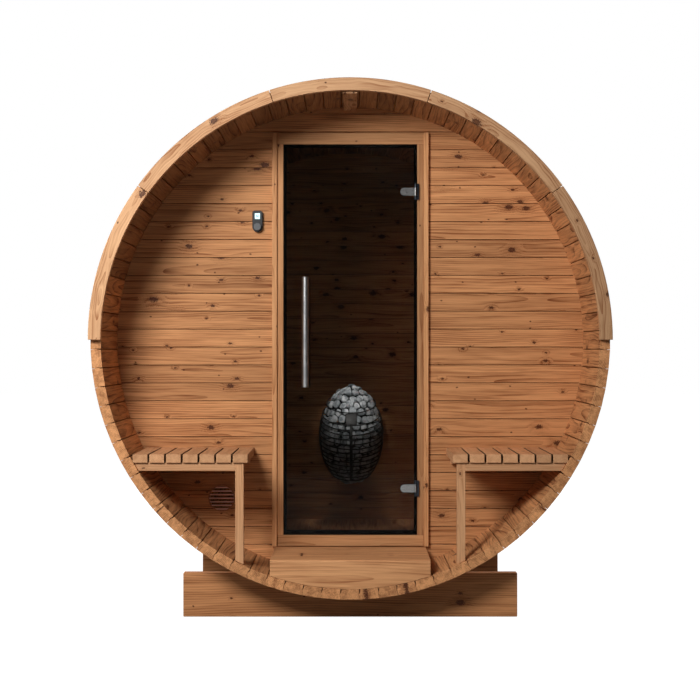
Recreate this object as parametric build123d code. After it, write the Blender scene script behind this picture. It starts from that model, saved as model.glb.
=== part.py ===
from build123d import *
import math
import os

# Barrel sauna, in millimetres. The origin is on the ground under the middle of the barrel:
# X to the right, Y into the depth (the porch is at -Y), Z up. Heights named TOP, BOTTOM or Z are
# measured from the barrel's own axis, and a RISE or a DROP from the piece that it names.

# Barrel
STAVE_GROUPS = 12                # one group of staves for each hour of a clock face
STAVES_PER_GROUP = 7
BARREL_RADIUS = 1050.0           # to the middle of a stave's flat outer face
STAVE_THICKNESS = 42.0
BARREL_LENGTH = 2030.0
GROUND_GAP = 100.0               # from the ground to the lowest stave
STAVE_GAP = 0.3                  # between neighbouring staves
BEAD_SHOULDER = 10.0             # flat part of a stave's edge on each side of the bead
BEAD_RISE = 5.0                  # how far the bead stands out of the edge

# Fits
SEAT_CLEARANCE = 0.3             # between a scribed piece and the curved surface that it sits on
DOOR_CLEARANCE = 5.0             # round the moving door
PIN_CLEARANCE = 0.3

# End walls
WALL_THICKNESS = 42.0
PORCH_DEPTH = 430.0              # from the front stave ends to the front wall
REAR_LIP = 58.0                  # from the rear wall to the rear stave ends
CROZE_DEPTH = 10.0               # groove in the staves that holds the rim of a wall

# Arch trim on the stave ends
TRIM_LAP_INSIDE = 3.0            # past the inner faces of the staves
TRIM_LAP_OUTSIDE = 7.0           # past their outer faces
TRIM_THICKNESS = 28.0
TRIM_BOARDS = 5
TRIM_JOINT = 0.6                 # open joint between two boards
TRIM_CHAMFER = 3.0

# Crown batten
BATTEN_WIDTH = 58.0
BATTEN_THICKNESS = 12.0

# Door opening and frame
OPENING_HALF_WIDTH = 289.7
OPENING_CROWN_DROP = 159.0       # from the crown's inner face down to the opening
JAMB_WIDTH = 27.3
HEAD_HEIGHT = 49.0
SILL_HEIGHT = 48.0
FRAME_PROUD = 8.0                # jambs, head and sill in front of the wall
CASING_WIDTH = 21.0
CASING_PROUD = 20.0
GASKET_SIDE = 13.0
GASKET_TOP = 11.0
GASKET_BOTTOM = 19.0
GASKET_DEPTH = 20.0
GASKET_GAP = 6.0                 # behind the closed glass

# Glass door
GLASS_THICKNESS = 8.0
BOLT_RADIUS = 5.0
BOLT_HOLE_CLEARANCE = 0.5

# Door handles
HANDLE_X = -192.0
HANDLE_RISE = 926.0              # its middle above the porch floor
HANDLE_LENGTH = 475.0
HANDLE_RADIUS = 16.0
HANDLE_STANDOFF = 42.0           # clear gap between the bar and the glass
HANDLE_POST_RADIUS = 8.0
HANDLE_POST_SPACING = 320.0

# Door hinges
HINGE_FROM_TOP = 206.0           # from the opening's top down to the middle of the upper hinge
HINGE_FROM_BOTTOM = 203.0
HINGE_AXIS_INSET = 8.2           # from the jamb's face to the hinge axis
HINGE_ARM_LENGTH = 65.0
HINGE_ARM_HEIGHT = 34.0
HINGE_ARM_THICKNESS = 7.0
HINGE_BOSS_LENGTH = 26.0
HINGE_BOSS_RISE = 4.0
HINGE_BACK_THICKNESS = 4.0
HINGE_BACK_GAP = 6.0             # from the back plate's end to the gasket
HINGE_KNUCKLE_RADIUS = 5.0
HINGE_GLASS_GAP = 1.0            # between a knuckle and the glass
HINGE_PIN_RADIUS = 2.5
HINGE_PLATE_HEIGHT = 69.0
HINGE_PLATE_WIDTH = 7.0
HINGE_PLATE_DEPTH = 10.0
HINGE_KNUCKLE_GAP = 0.5          # between the arm's knuckle and a lug

# Controller and vent on the front wall
CONTROLLER_X = -401.0
CONTROLLER_RISE = 1405.0         # its middle above the porch floor
CONTROLLER_WIDTH = 44.0
CONTROLLER_HEIGHT = 92.0
CONTROLLER_DEPTH = 20.0
CONTROLLER_CORNER = 11.0
KNOB_RADIUS = 17.0
KNOB_DEPTH = 14.0
KNOB_CHAMFER = 2.0
VENT_X = -556.0
VENT_SEAT_DROP = 219.0           # its middle below the seat
VENT_RADIUS = 58.0
VENT_RIM = 5.0
VENT_HOLE_RADIUS = 50.0
VENT_THICKNESS = 8.0
VENT_BLADES = 7
VENT_BLADE_PITCH = 15.4
VENT_BLADE_HEIGHT = 7.5

# Porch benches
SEAT_RISE = 427.0                # above the porch floor
SEAT_INNER_X = 415.0
SLAT_WIDTH = 60.6
SLAT_PITCH = 67.5
SLAT_THICKNESS = 34.0
RAIL_INSET = 12.0                # front rail and post behind the slat ends
RAIL_HEIGHT = 33.5
RAIL_THICKNESS = 34.0
POST_INSET = 17.0                # post beside the inner edge of the seat
POST_WIDTH = 34.0

# Floors
PORCH_FLOOR_RISE = 118.0         # above the inner face of the lowest stave
PORCH_FLOOR_HALF_WIDTH = 325.0
ROOM_FLOOR_RISE = 65.0
FLOOR_THICKNESS = 28.0
FASCIA_THICKNESS = 28.0
FASCIA_ROUNDING = 8.0
BEARER_THICKNESS = 40.0

# Cradles
CRADLE_LENGTH = 1389.0
CRADLE_HEIGHT = 182.0
CRADLE_THICKNESS = 50.0
CRADLE_CHAMFER = 8.0
CRADLE_END_DISTANCE = 172.0      # from a stave end to the outer face of the nearest cradle

# Steel bands
BAND_WIDTH = 40.0
BAND_THICKNESS = 1.0
BAND_CLEARANCE = 0.05
BAND_LUG_ANGLE = 125.0           # clockwise from the crown
BAND_LUG_GAP = 44.0
BAND_LUG_HEIGHT = 26.0
BAND_LUG_THICKNESS = 4.0
BAND_ROD_RADIUS = 5.0
BAND_ROD_OVERHANG = 22.0
BAND_NUT_RADIUS = 9.0
BAND_NUT_LENGTH = 8.0

# Heater
HEATER_X = 5.0
HEATER_WALL_DISTANCE = 230.0     # from the rear wall to the heater's own axis
HEATER_RISE = 464.0              # its middle above the floor of the room
CAGE_RADIUS = 168.0
CAGE_HALF_HEIGHT = 262.0
CAGE_WIRE_RADIUS = 3.0
CAGE_TILT = 20.0                 # the rings hang lower at the front
CAGE_TOP_RING = 172.0            # heights above the middle of the heater
CAGE_SECOND_RING = 114.6
CAGE_RING_PITCH = 24.6
CAGE_RINGS_BELOW = 13
CAGE_STRIP_WIDTH = 14.0
CAGE_STRIP_THICKNESS = 3.0
CAGE_STRIPS = 4
CAGE_FOOT_SHARE = 0.93           # how far down the egg the strips reach
BRACKET_PLATE_WIDTH = 180.0
BRACKET_PLATE_HEIGHT = 320.0
BRACKET_PLATE_THICKNESS = 5.0
BRACKET_ARM_WIDTH = 30.0
BRACKET_ARM_HEIGHT = 24.0
BRACKET_ARM_SPACING = 120.0

# Worked out from the sizes above
CENTRE_Z = GROUND_GAP + BARREL_RADIUS
STAVE_COUNT = STAVE_GROUPS * STAVES_PER_GROUP
HALF_STAVE = math.radians(180.0 / STAVE_COUNT)
INNER_RADIUS = BARREL_RADIUS - STAVE_THICKNESS
CORNER_RADIUS = BARREL_RADIUS / math.cos(HALF_STAVE)
SCRIBE_RADIUS = INNER_RADIUS - SEAT_CLEARANCE
WALL_RADIUS = INNER_RADIUS + CROZE_DEPTH - SEAT_CLEARANCE
Y_FRONT = -BARREL_LENGTH / 2
Y_REAR = BARREL_LENGTH / 2
Y_WALL = Y_FRONT + PORCH_DEPTH
Y_WALL_BACK = Y_WALL + WALL_THICKNESS
Y_REAR_WALL_BACK = Y_REAR - REAR_LIP
Y_REAR_WALL = Y_REAR_WALL_BACK - WALL_THICKNESS
TRIM_INNER_RADIUS = INNER_RADIUS - TRIM_LAP_INSIDE
TRIM_OUTER_RADIUS = BARREL_RADIUS + TRIM_LAP_OUTSIDE
PORCH_FLOOR_TOP = PORCH_FLOOR_RISE - INNER_RADIUS
ROOM_FLOOR_TOP = ROOM_FLOOR_RISE - INNER_RADIUS
OPENING_TOP = INNER_RADIUS - OPENING_CROWN_DROP
OPENING_BOTTOM = PORCH_FLOOR_TOP + SILL_HEIGHT
FRAME_HALF_WIDTH = OPENING_HALF_WIDTH + JAMB_WIDTH
FRAME_TOP = OPENING_TOP + HEAD_HEIGHT
FRAME_BOTTOM = OPENING_BOTTOM - SILL_HEIGHT
Y_FRAME = Y_WALL - FRAME_PROUD
Y_GLASS = Y_FRAME
Y_GLASS_BACK = Y_GLASS + GLASS_THICKNESS
Y_GASKET = Y_GLASS_BACK + GASKET_GAP
HINGE_X = OPENING_HALF_WIDTH - HINGE_AXIS_INSET
HINGE_Y = Y_GLASS - HINGE_GLASS_GAP - HINGE_KNUCKLE_RADIUS
HINGE_HEIGHTS = (OPENING_TOP - HINGE_FROM_TOP, OPENING_BOTTOM + HINGE_FROM_BOTTOM)
HANDLE_Z = PORCH_FLOOR_TOP + HANDLE_RISE
CONTROLLER_Z = PORCH_FLOOR_TOP + CONTROLLER_RISE
SEAT_TOP = PORCH_FLOOR_TOP + SEAT_RISE
SEAT_BOTTOM = SEAT_TOP - SLAT_THICKNESS
SEAT_REACH = math.sqrt(INNER_RADIUS**2 - SEAT_BOTTOM**2)
SLAT_COUNT = round((SEAT_REACH - SEAT_INNER_X) / SLAT_PITCH)
VENT_Z = SEAT_TOP - VENT_SEAT_DROP
HEATER_Z = ROOM_FLOOR_TOP + HEATER_RISE
Y_HEATER = Y_REAR_WALL - HEATER_WALL_DISTANCE


def block(x_left, x_right, y_near, y_far, z_low, z_high):
    """Box between two faces along each axis, with heights from the centre line."""
    size = (x_right - x_left, y_far - y_near, z_high - z_low)
    middle = ((x_left + x_right) / 2, (y_near + y_far) / 2, CENTRE_Z + (z_low + z_high) / 2)
    return Pos(*middle) * Box(*size)


def front_view(outline, y_near, y_far):
    """Solid of an outline drawn as seen from the front, its origin on the barrel's axis."""
    plane = Plane(origin=(0, y_far, CENTRE_Z), x_dir=(1, 0, 0), z_dir=(0, -1, 0))
    return extrude(plane * outline, amount=y_far - y_near)


def rod(x, z, radius, y_near, y_far):
    """Round bar along Y."""
    return front_view(Pos(x, z) * Circle(radius), y_near, y_far)


def upright(x, y, radius, z_low, z_high):
    """Round bar along Z, with heights from the centre line."""
    middle = CENTRE_Z + (z_low + z_high) / 2
    return Pos(x, y, middle) * Cylinder(radius, z_high - z_low)


def turned(shape, clockwise):
    """Shape turned about the barrel's axis, clockwise as seen from the front, in degrees."""
    return Pos(0, 0, CENTRE_Z) * Rot(0, clockwise, 0) * Pos(0, 0, -CENTRE_Z) * shape


def scribed(shape):
    """Shape trimmed to sit in the barrel."""
    return shape & rod(0, 0, SCRIBE_RADIUS, Y_FRONT, Y_REAR)


def both_sides(shape):
    """Shape on the right, and its mirror image on the left."""
    return [shape, mirror(shape, about=Plane.YZ)]


def stave():
    """One stave at the crown: a bead along its right edge, a cove along its left one."""

    def edge_point(side, height, bulge=0.0):
        return (side * (height * math.tan(HALF_STAVE) - STAVE_GAP / 2) + bulge, height)

    low = INNER_RADIUS + BEAD_SHOULDER
    high = BARREL_RADIUS - BEAD_SHOULDER
    middle = (low + high) / 2
    outline = [
        Line(edge_point(-1, INNER_RADIUS), edge_point(1, INNER_RADIUS)),
        Line(edge_point(1, INNER_RADIUS), edge_point(1, low)),
        ThreePointArc(edge_point(1, low), edge_point(1, middle, BEAD_RISE), edge_point(1, high)),
        Line(edge_point(1, high), edge_point(1, BARREL_RADIUS)),
        Line(edge_point(1, BARREL_RADIUS), edge_point(-1, BARREL_RADIUS)),
        Line(edge_point(-1, BARREL_RADIUS), edge_point(-1, high)),
        ThreePointArc(edge_point(-1, high), edge_point(-1, middle, BEAD_RISE), edge_point(-1, low)),
        Line(edge_point(-1, low), edge_point(-1, INNER_RADIUS)),
    ]
    solid = front_view(make_face(Curve() + outline), Y_FRONT, Y_REAR)
    for y_near, y_far in ((Y_WALL, Y_WALL_BACK), (Y_REAR_WALL, Y_REAR_WALL_BACK)):
        groove_radius = INNER_RADIUS + CROZE_DEPTH
        solid -= rod(0, 0, groove_radius, y_near - SEAT_CLEARANCE, y_far + SEAT_CLEARANCE)
    return solid


def stave_group(hour):
    """The staves centred on one hour of the clock face."""
    pitch = 360.0 / STAVE_COUNT
    one = stave()
    first = hour * STAVES_PER_GROUP - (STAVES_PER_GROUP - 1) / 2
    return [turned(one, (first + k) * pitch) for k in range(STAVES_PER_GROUP)]


def arch_trim(y_near, y_far, front):
    """Half ring of curved boards over the upper stave ends, chamfered along the open face."""
    board_angle = 180.0 / TRIM_BOARDS
    joint_angle = math.degrees(TRIM_JOINT / 2 / TRIM_INNER_RADIUS)
    y_open = y_near if front else y_far
    boards = []
    for k in range(TRIM_BOARDS):
        start = k * board_angle + (joint_angle if k else 0)
        end = (k + 1) * board_angle - (joint_angle if k < TRIM_BOARDS - 1 else 0)
        inner = CenterArc((0, 0), TRIM_INNER_RADIUS, start, end - start)
        outer = CenterArc((0, 0), TRIM_OUTER_RADIUS, start, end - start)
        sides = [Line(inner @ 0, outer @ 0), Line(inner @ 1, outer @ 1)]
        board = front_view(make_face(Curve() + [inner, outer] + sides), y_near, y_far)
        open_arcs = [
            edge
            for edge in board.edges().filter_by(GeomType.CIRCLE)
            if abs(edge.center().Y - y_open) < TRIM_CHAMFER / 2
        ]
        boards.append(chamfer(open_arcs, TRIM_CHAMFER))
    return boards


def end_wall(y_near, y_far):
    """Round wall whose rim sits in the groove of the staves."""
    return rod(0, 0, WALL_RADIUS, y_near, y_far)


def front_wall_pieces():
    """The front wall split beside, over and under the door frame."""
    wall = end_wall(Y_WALL, Y_WALL_BACK)
    reach = WALL_RADIUS
    rim = (Y_WALL, Y_WALL_BACK)
    left = wall & block(-reach, -FRAME_HALF_WIDTH, *rim, -reach, reach)
    left -= rod(VENT_X, VENT_Z, VENT_HOLE_RADIUS, *rim)
    right = wall & block(FRAME_HALF_WIDTH, reach, *rim, -reach, reach)
    over = wall & block(-FRAME_HALF_WIDTH, FRAME_HALF_WIDTH, *rim, FRAME_TOP, reach)
    under = wall & block(-FRAME_HALF_WIDTH, FRAME_HALF_WIDTH, *rim, -reach, FRAME_BOTTOM)
    return left, right, over, under


def crown_batten():
    """Batten under the crown stave of the porch."""
    half = BATTEN_WIDTH / 2
    return block(-half, half, Y_FRONT, Y_WALL, INNER_RADIUS - BATTEN_THICKNESS, INNER_RADIUS)


def door_jambs():
    jamb = block(
        OPENING_HALF_WIDTH, FRAME_HALF_WIDTH, Y_FRAME, Y_WALL_BACK, OPENING_BOTTOM, OPENING_TOP
    )
    return both_sides(jamb)


def door_casings():
    """Raised strips on the wall beside the jambs."""
    outer = FRAME_HALF_WIDTH + CASING_WIDTH
    return both_sides(
        block(FRAME_HALF_WIDTH, outer, Y_WALL - CASING_PROUD, Y_WALL, FRAME_BOTTOM, FRAME_TOP)
    )


def door_head():
    return block(
        -FRAME_HALF_WIDTH, FRAME_HALF_WIDTH, Y_FRAME, Y_WALL_BACK, OPENING_TOP, FRAME_TOP
    )


def door_sill():
    return block(
        -FRAME_HALF_WIDTH, FRAME_HALF_WIDTH, Y_FRAME, Y_WALL_BACK, FRAME_BOTTOM, OPENING_BOTTOM
    )


def door_gasket():
    """Black frame behind the glass, inside the jambs."""
    y_far = Y_GASKET + GASKET_DEPTH
    half = OPENING_HALF_WIDTH
    ring = block(-half, half, Y_GASKET, y_far, OPENING_BOTTOM, OPENING_TOP)
    inner = half - GASKET_SIDE
    low = OPENING_BOTTOM + GASKET_BOTTOM
    high = OPENING_TOP - GASKET_TOP
    return ring - block(-inner, inner, Y_GASKET, y_far, low, high)


def handle_post_heights():
    return [HANDLE_Z + side * HANDLE_POST_SPACING / 2 for side in (-1, 1)]


def hinge_bolt_x():
    """The clamp bolt stands in the middle of the raised boss."""
    return HINGE_X - HINGE_ARM_LENGTH + HINGE_BOSS_LENGTH / 2


def door_glass():
    """Glass pane with its bolt holes."""
    half = OPENING_HALF_WIDTH - DOOR_CLEARANCE
    low = OPENING_BOTTOM + DOOR_CLEARANCE
    high = OPENING_TOP - DOOR_CLEARANCE
    pane = block(-half, half, Y_GLASS, Y_GLASS_BACK, low, high)
    places = [(HANDLE_X, z) for z in handle_post_heights()]
    places += [(hinge_bolt_x(), z) for z in HINGE_HEIGHTS]
    for x, z in places:
        pane -= rod(x, z, BOLT_RADIUS + BOLT_HOLE_CLEARANCE, Y_GLASS, Y_GLASS_BACK)
    return pane


def handle_bar(y_glass_face, outward):
    """Round bar with two posts that stand on one face of the glass."""
    y_bar = y_glass_face + outward * (HANDLE_STANDOFF + HANDLE_RADIUS)
    half = HANDLE_LENGTH / 2
    bar = upright(HANDLE_X, y_bar, HANDLE_RADIUS, HANDLE_Z - half, HANDLE_Z + half)
    bar = chamfer(bar.edges().filter_by(GeomType.CIRCLE), 1.5)
    for z in handle_post_heights():
        bar += rod(HANDLE_X, z, HANDLE_POST_RADIUS, min(y_glass_face, y_bar), max(y_glass_face, y_bar))
    return bar


def outer_handle():
    """Outside handle, with the bolts that pass through the glass."""
    handle = handle_bar(Y_GLASS, -1)
    for z in handle_post_heights():
        handle += rod(HANDLE_X, z, BOLT_RADIUS, Y_GLASS, Y_GLASS_BACK)
    return handle


def inner_handle():
    return handle_bar(Y_GLASS_BACK, 1)


def hinge_arm(z):
    """Clamp on the glass with its knuckle, round at the glass end, and its plate behind the glass."""
    end = HINGE_X - HINGE_ARM_LENGTH
    half = HINGE_ARM_HEIGHT / 2
    round_end = Pos(end + half, z) * Circle(half)
    outline = round_end + Pos((end + half + HINGE_X) / 2, z) * Rectangle(HINGE_X - end - half, 2 * half)
    arm = front_view(outline, Y_GLASS - HINGE_ARM_THICKNESS, Y_GLASS)
    boss = outline & Pos(end + HINGE_BOSS_LENGTH / 2, z) * Rectangle(HINGE_BOSS_LENGTH, 2 * half)
    arm += front_view(boss, Y_GLASS - HINGE_ARM_THICKNESS - HINGE_BOSS_RISE, Y_GLASS)
    arm += upright(HINGE_X, HINGE_Y, HINGE_KNUCKLE_RADIUS, z - half, z + half)
    back_end = OPENING_HALF_WIDTH - GASKET_SIDE - HINGE_BACK_GAP
    back = round_end + Pos((end + half + back_end) / 2, z) * Rectangle(back_end - end - half, 2 * half)
    arm += front_view(back, Y_GLASS_BACK, Y_GLASS_BACK + HINGE_BACK_THICKNESS)
    arm += rod(hinge_bolt_x(), z, BOLT_RADIUS, Y_GLASS, Y_GLASS_BACK)
    arm -= upright(HINGE_X, HINGE_Y, HINGE_PIN_RADIUS + PIN_CLEARANCE, z - half, z + half)
    return arm


def hinge_plate(z):
    """Plate on the jamb with a lug above and below the arm, and the pin between them."""
    half = HINGE_PLATE_HEIGHT / 2
    face = OPENING_HALF_WIDTH
    rim = (Y_FRAME - HINGE_PLATE_DEPTH, Y_FRAME)
    plate = block(face, face + HINGE_PLATE_WIDTH, *rim, z - half, z + half)
    lug_inner = HINGE_ARM_HEIGHT / 2 + HINGE_KNUCKLE_GAP
    web = HINGE_KNUCKLE_RADIUS / 2
    for low, high in ((z - half, z - lug_inner), (z + lug_inner, z + half)):
        plate += upright(HINGE_X, HINGE_Y, HINGE_KNUCKLE_RADIUS, low, high)
        plate += block(HINGE_X, face, HINGE_Y - web, HINGE_Y + web, low, high)
    plate += upright(HINGE_X, HINGE_Y, HINGE_PIN_RADIUS, z - half, z + half)
    return plate


def controller_case():
    """Upright case with two rounded corners at the top and a half-round bottom."""
    radius = CONTROLLER_WIDTH / 2
    low = CONTROLLER_Z - CONTROLLER_HEIGHT / 2 + radius
    high = CONTROLLER_Z + CONTROLLER_HEIGHT / 2
    upper = Pos(CONTROLLER_X, (low + high) / 2) * Rectangle(CONTROLLER_WIDTH, high - low)
    upper = fillet(upper.vertices().group_by(Axis.Y)[-1], CONTROLLER_CORNER)
    outline = upper + Pos(CONTROLLER_X, low) * Circle(radius)
    case = front_view(outline, Y_WALL - CONTROLLER_DEPTH, Y_WALL)
    return chamfer(case.faces().sort_by(Axis.Y)[0].edges(), 1.0)


def controller_knob():
    """Turning knob, centred on the half-round bottom of the case."""
    z = CONTROLLER_Z - CONTROLLER_HEIGHT / 2 + CONTROLLER_WIDTH / 2
    y_far = Y_WALL - CONTROLLER_DEPTH
    knob = rod(CONTROLLER_X, z, KNOB_RADIUS, y_far - KNOB_DEPTH, y_far)
    return chamfer(knob.faces().sort_by(Axis.Y)[0].edges(), KNOB_CHAMFER)


def wall_vent():
    """Round louvre: a rim with level blades across it."""
    inner_radius = VENT_RADIUS - VENT_RIM
    outline = Circle(VENT_RADIUS) - Circle(inner_radius)
    for k in range(VENT_BLADES):
        height = (k - (VENT_BLADES - 1) / 2) * VENT_BLADE_PITCH
        blade = Pos(0, height) * Rectangle(2 * VENT_RADIUS, VENT_BLADE_HEIGHT)
        outline += blade & Circle(inner_radius + VENT_RIM / 2)
    return front_view(Pos(VENT_X, VENT_Z) * outline, Y_WALL - VENT_THICKNESS, Y_WALL)


def bench_slats():
    """Slats of the right bench, from the stave ends back to the wall."""
    slats = []
    for k in range(SLAT_COUNT):
        left = SEAT_INNER_X + k * SLAT_PITCH
        slats.append(scribed(block(left, left + SLAT_WIDTH, Y_FRONT, Y_WALL, SEAT_BOTTOM, SEAT_TOP)))
    return slats


def bench_rails():
    """Front rail and wall cleat under the slats of the right bench."""
    start = SEAT_INNER_X + POST_INSET
    y_rail = Y_FRONT + RAIL_INSET
    low = SEAT_BOTTOM - RAIL_HEIGHT
    past_post = start + POST_WIDTH
    front = block(past_post, INNER_RADIUS, y_rail, y_rail + RAIL_THICKNESS, low, SEAT_BOTTOM)
    cleat = block(start, INNER_RADIUS, Y_WALL - RAIL_THICKNESS, Y_WALL, low, SEAT_BOTTOM)
    return [scribed(front), scribed(cleat)]


def bench_post():
    """Post under the inner front corner of the right bench."""
    left = SEAT_INNER_X + POST_INSET
    y_near = Y_FRONT + RAIL_INSET
    return scribed(
        block(left, left + POST_WIDTH, y_near, y_near + RAIL_THICKNESS, -INNER_RADIUS, SEAT_BOTTOM)
    )


def porch_floor():
    half = PORCH_FLOOR_HALF_WIDTH
    y_near = Y_FRONT + FASCIA_THICKNESS
    low = PORCH_FLOOR_TOP - FLOOR_THICKNESS
    return block(-half, half, y_near, Y_WALL, low, PORCH_FLOOR_TOP)


def porch_fascia():
    """Board across the front of the porch floor, with a rounded top edge."""
    half = PORCH_FLOOR_HALF_WIDTH
    board = block(-half, half, Y_FRONT, Y_FRONT + FASCIA_THICKNESS, -INNER_RADIUS, PORCH_FLOOR_TOP)
    top_front = board.edges().filter_by(Axis.X).group_by(Axis.Z)[-1].sort_by(Axis.Y)[0]
    return scribed(fillet(top_front, FASCIA_ROUNDING))


def porch_bearers():
    """Scribed bearers under the porch floor, one in the middle and one at the wall."""
    half = PORCH_FLOOR_HALF_WIDTH
    high = PORCH_FLOOR_TOP - FLOOR_THICKNESS
    y_middle = (Y_FRONT + FASCIA_THICKNESS + Y_WALL - BEARER_THICKNESS) / 2
    bearers = []
    for y_near in (y_middle, Y_WALL - BEARER_THICKNESS):
        bearer = block(-half, half, y_near, y_near + BEARER_THICKNESS, -INNER_RADIUS, high)
        bearers.append(scribed(bearer))
    return bearers


def room_floor():
    """Floor of the room, its edges scribed to the staves."""
    reach = INNER_RADIUS
    low = ROOM_FLOOR_TOP - FLOOR_THICKNESS
    return scribed(block(-reach, reach, Y_WALL_BACK, Y_REAR_WALL, low, ROOM_FLOOR_TOP))


def cradles():
    """Three beams across, each cut out to the barrel's round."""
    height = CRADLE_HEIGHT
    outline = Pos(0, height / 2 - CENTRE_Z) * Rectangle(CRADLE_LENGTH, height)
    outline = chamfer(outline.vertices().group_by(Axis.Y)[-1], CRADLE_CHAMFER)
    outline -= Circle(CORNER_RADIUS + SEAT_CLEARANCE)
    y_first = Y_FRONT + CRADLE_END_DISTANCE
    y_last = Y_REAR - CRADLE_END_DISTANCE - CRADLE_THICKNESS
    places = (y_first, (y_first + y_last) / 2, y_last)
    return [front_view(outline, y, y + CRADLE_THICKNESS) for y in places]


def steel_band(y_middle):
    """Band round the barrel, with folded lugs and a tightening rod at its ends."""
    inner = CORNER_RADIUS + BAND_CLEARANCE
    half_gap = BAND_LUG_GAP / 2
    lug_top = inner + BAND_LUG_HEIGHT
    outline = Circle(inner + BAND_THICKNESS) - Circle(inner)
    outline -= Pos(0, inner) * Rectangle(BAND_LUG_GAP, BAND_LUG_HEIGHT)
    for side in (-1, 1):
        lug = Rectangle(BAND_LUG_THICKNESS, BAND_LUG_HEIGHT)
        x = side * (half_gap + BAND_LUG_THICKNESS / 2)
        outline += Pos(x, (inner + lug_top) / 2) * lug
    outline -= Circle(inner)
    band = front_view(outline, y_middle - BAND_WIDTH / 2, y_middle + BAND_WIDTH / 2)
    across = Pos(0, y_middle, CENTRE_Z + inner + BAND_LUG_HEIGHT / 2) * Rot(0, 90, 0)
    reach = half_gap + BAND_LUG_THICKNESS + BAND_ROD_OVERHANG
    band += across * Cylinder(BAND_ROD_RADIUS, 2 * reach)
    for side in (-1, 1):
        nut = side * (half_gap + BAND_LUG_THICKNESS + BAND_NUT_LENGTH / 2)
        band += across * Pos(0, 0, nut) * Cylinder(BAND_NUT_RADIUS, BAND_NUT_LENGTH)
    return turned(band, BAND_LUG_ANGLE)


def steel_bands():
    """Bands over both walls, and one midway between them."""
    y_first = (Y_WALL + Y_WALL_BACK) / 2
    y_last = (Y_REAR_WALL + Y_REAR_WALL_BACK) / 2
    return [steel_band(y) for y in (y_first, (y_first + y_last) / 2, y_last)]


def heater_place():
    return Pos(HEATER_X, Y_HEATER, CENTRE_Z + HEATER_Z)


def ellipsoid(radius, half_height):
    """Egg of revolution about Z, centred on the origin."""
    arc = EllipticalCenterArc((0, 0), radius, half_height, start_angle=-90, arc_size=180)
    outline = make_face(Curve() + [arc, Line(arc @ 1, arc @ 0)])
    return revolve(Plane.XZ * outline, Axis.Z, 360)


def stone_inset():
    """From the middle of the cage's wires in to the heap of stones."""
    return CAGE_WIRE_RADIUS + CAGE_STRIP_THICKNESS + 2 * SEAT_CLEARANCE


def heater_stones():
    inset = stone_inset()
    return heater_place() * ellipsoid(CAGE_RADIUS - inset, CAGE_HALF_HEIGHT - inset)


def cage_ring(height):
    """Wire ring: a tilted section of the egg, at a height on the heater's own axis."""
    slope = math.tan(math.radians(CAGE_TILT))
    squared = 1 / CAGE_RADIUS**2 + slope**2 / CAGE_HALF_HEIGHT**2
    y_centre = -height * slope / (CAGE_HALF_HEIGHT**2 * squared)
    share = 1 - height**2 / CAGE_HALF_HEIGHT**2 + squared * y_centre**2
    half_width = CAGE_RADIUS * math.sqrt(share)
    half_depth = math.sqrt(share / squared) / math.cos(math.radians(CAGE_TILT))
    plane = Plane(
        origin=(0, y_centre, height + slope * y_centre),
        x_dir=(1, 0, 0),
        z_dir=(0, -math.sin(math.radians(CAGE_TILT)), math.cos(math.radians(CAGE_TILT))),
    )
    path = plane * Ellipse(half_width, half_depth).edge()
    section = Plane(origin=path @ 0, z_dir=path % 0) * Circle(CAGE_WIRE_RADIUS)
    return heater_place() * sweep(section, path=path)


def cage_rings():
    heights = [CAGE_TOP_RING]
    heights += [CAGE_SECOND_RING - k * CAGE_RING_PITCH for k in range(CAGE_RINGS_BELOW)]
    return [cage_ring(height) for height in heights]


def ring_crossing(height, angle):
    """Height at which the ring that belongs to an axis height crosses the meridian at an angle."""
    slope = math.tan(math.radians(CAGE_TILT)) * math.sin(math.radians(angle))
    a = 1 / CAGE_RADIUS**2 + slope**2 / CAGE_HALF_HEIGHT**2
    b = height * slope / CAGE_HALF_HEIGHT**2
    c = height**2 / CAGE_HALF_HEIGHT**2 - 1
    reach = (math.sqrt(b**2 - a * c) - b) / a
    return height + slope * reach


def cage_strip(angle, ring_height):
    """Upright strip inside the rings, from the ring that carries its top to the heater's foot."""
    outer = CAGE_WIRE_RADIUS + SEAT_CLEARANCE
    inner = outer + CAGE_STRIP_THICKNESS
    outline = Ellipse(CAGE_RADIUS - outer, CAGE_HALF_HEIGHT - outer)
    outline -= Ellipse(CAGE_RADIUS - inner, CAGE_HALF_HEIGHT - inner)
    foot = CAGE_FOOT_SHARE * CAGE_HALF_HEIGHT
    top = ring_crossing(ring_height, angle) + 2 * CAGE_WIRE_RADIUS
    keep = Pos(CAGE_RADIUS / 2, (top - foot) / 2) * Rectangle(CAGE_RADIUS, top + foot)
    strip = extrude(Plane.XZ * (outline & keep), amount=CAGE_STRIP_WIDTH / 2, both=True)
    return heater_place() * Rot(0, 0, angle) * strip


def cage_strips():
    """The front strip starts at the second ring, the others at the top ring."""
    front = -90.0
    strips = [cage_strip(front, CAGE_SECOND_RING)]
    for k in range(1, CAGE_STRIPS):
        strips.append(cage_strip(front + k * 360.0 / CAGE_STRIPS, CAGE_TOP_RING))
    return strips


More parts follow.
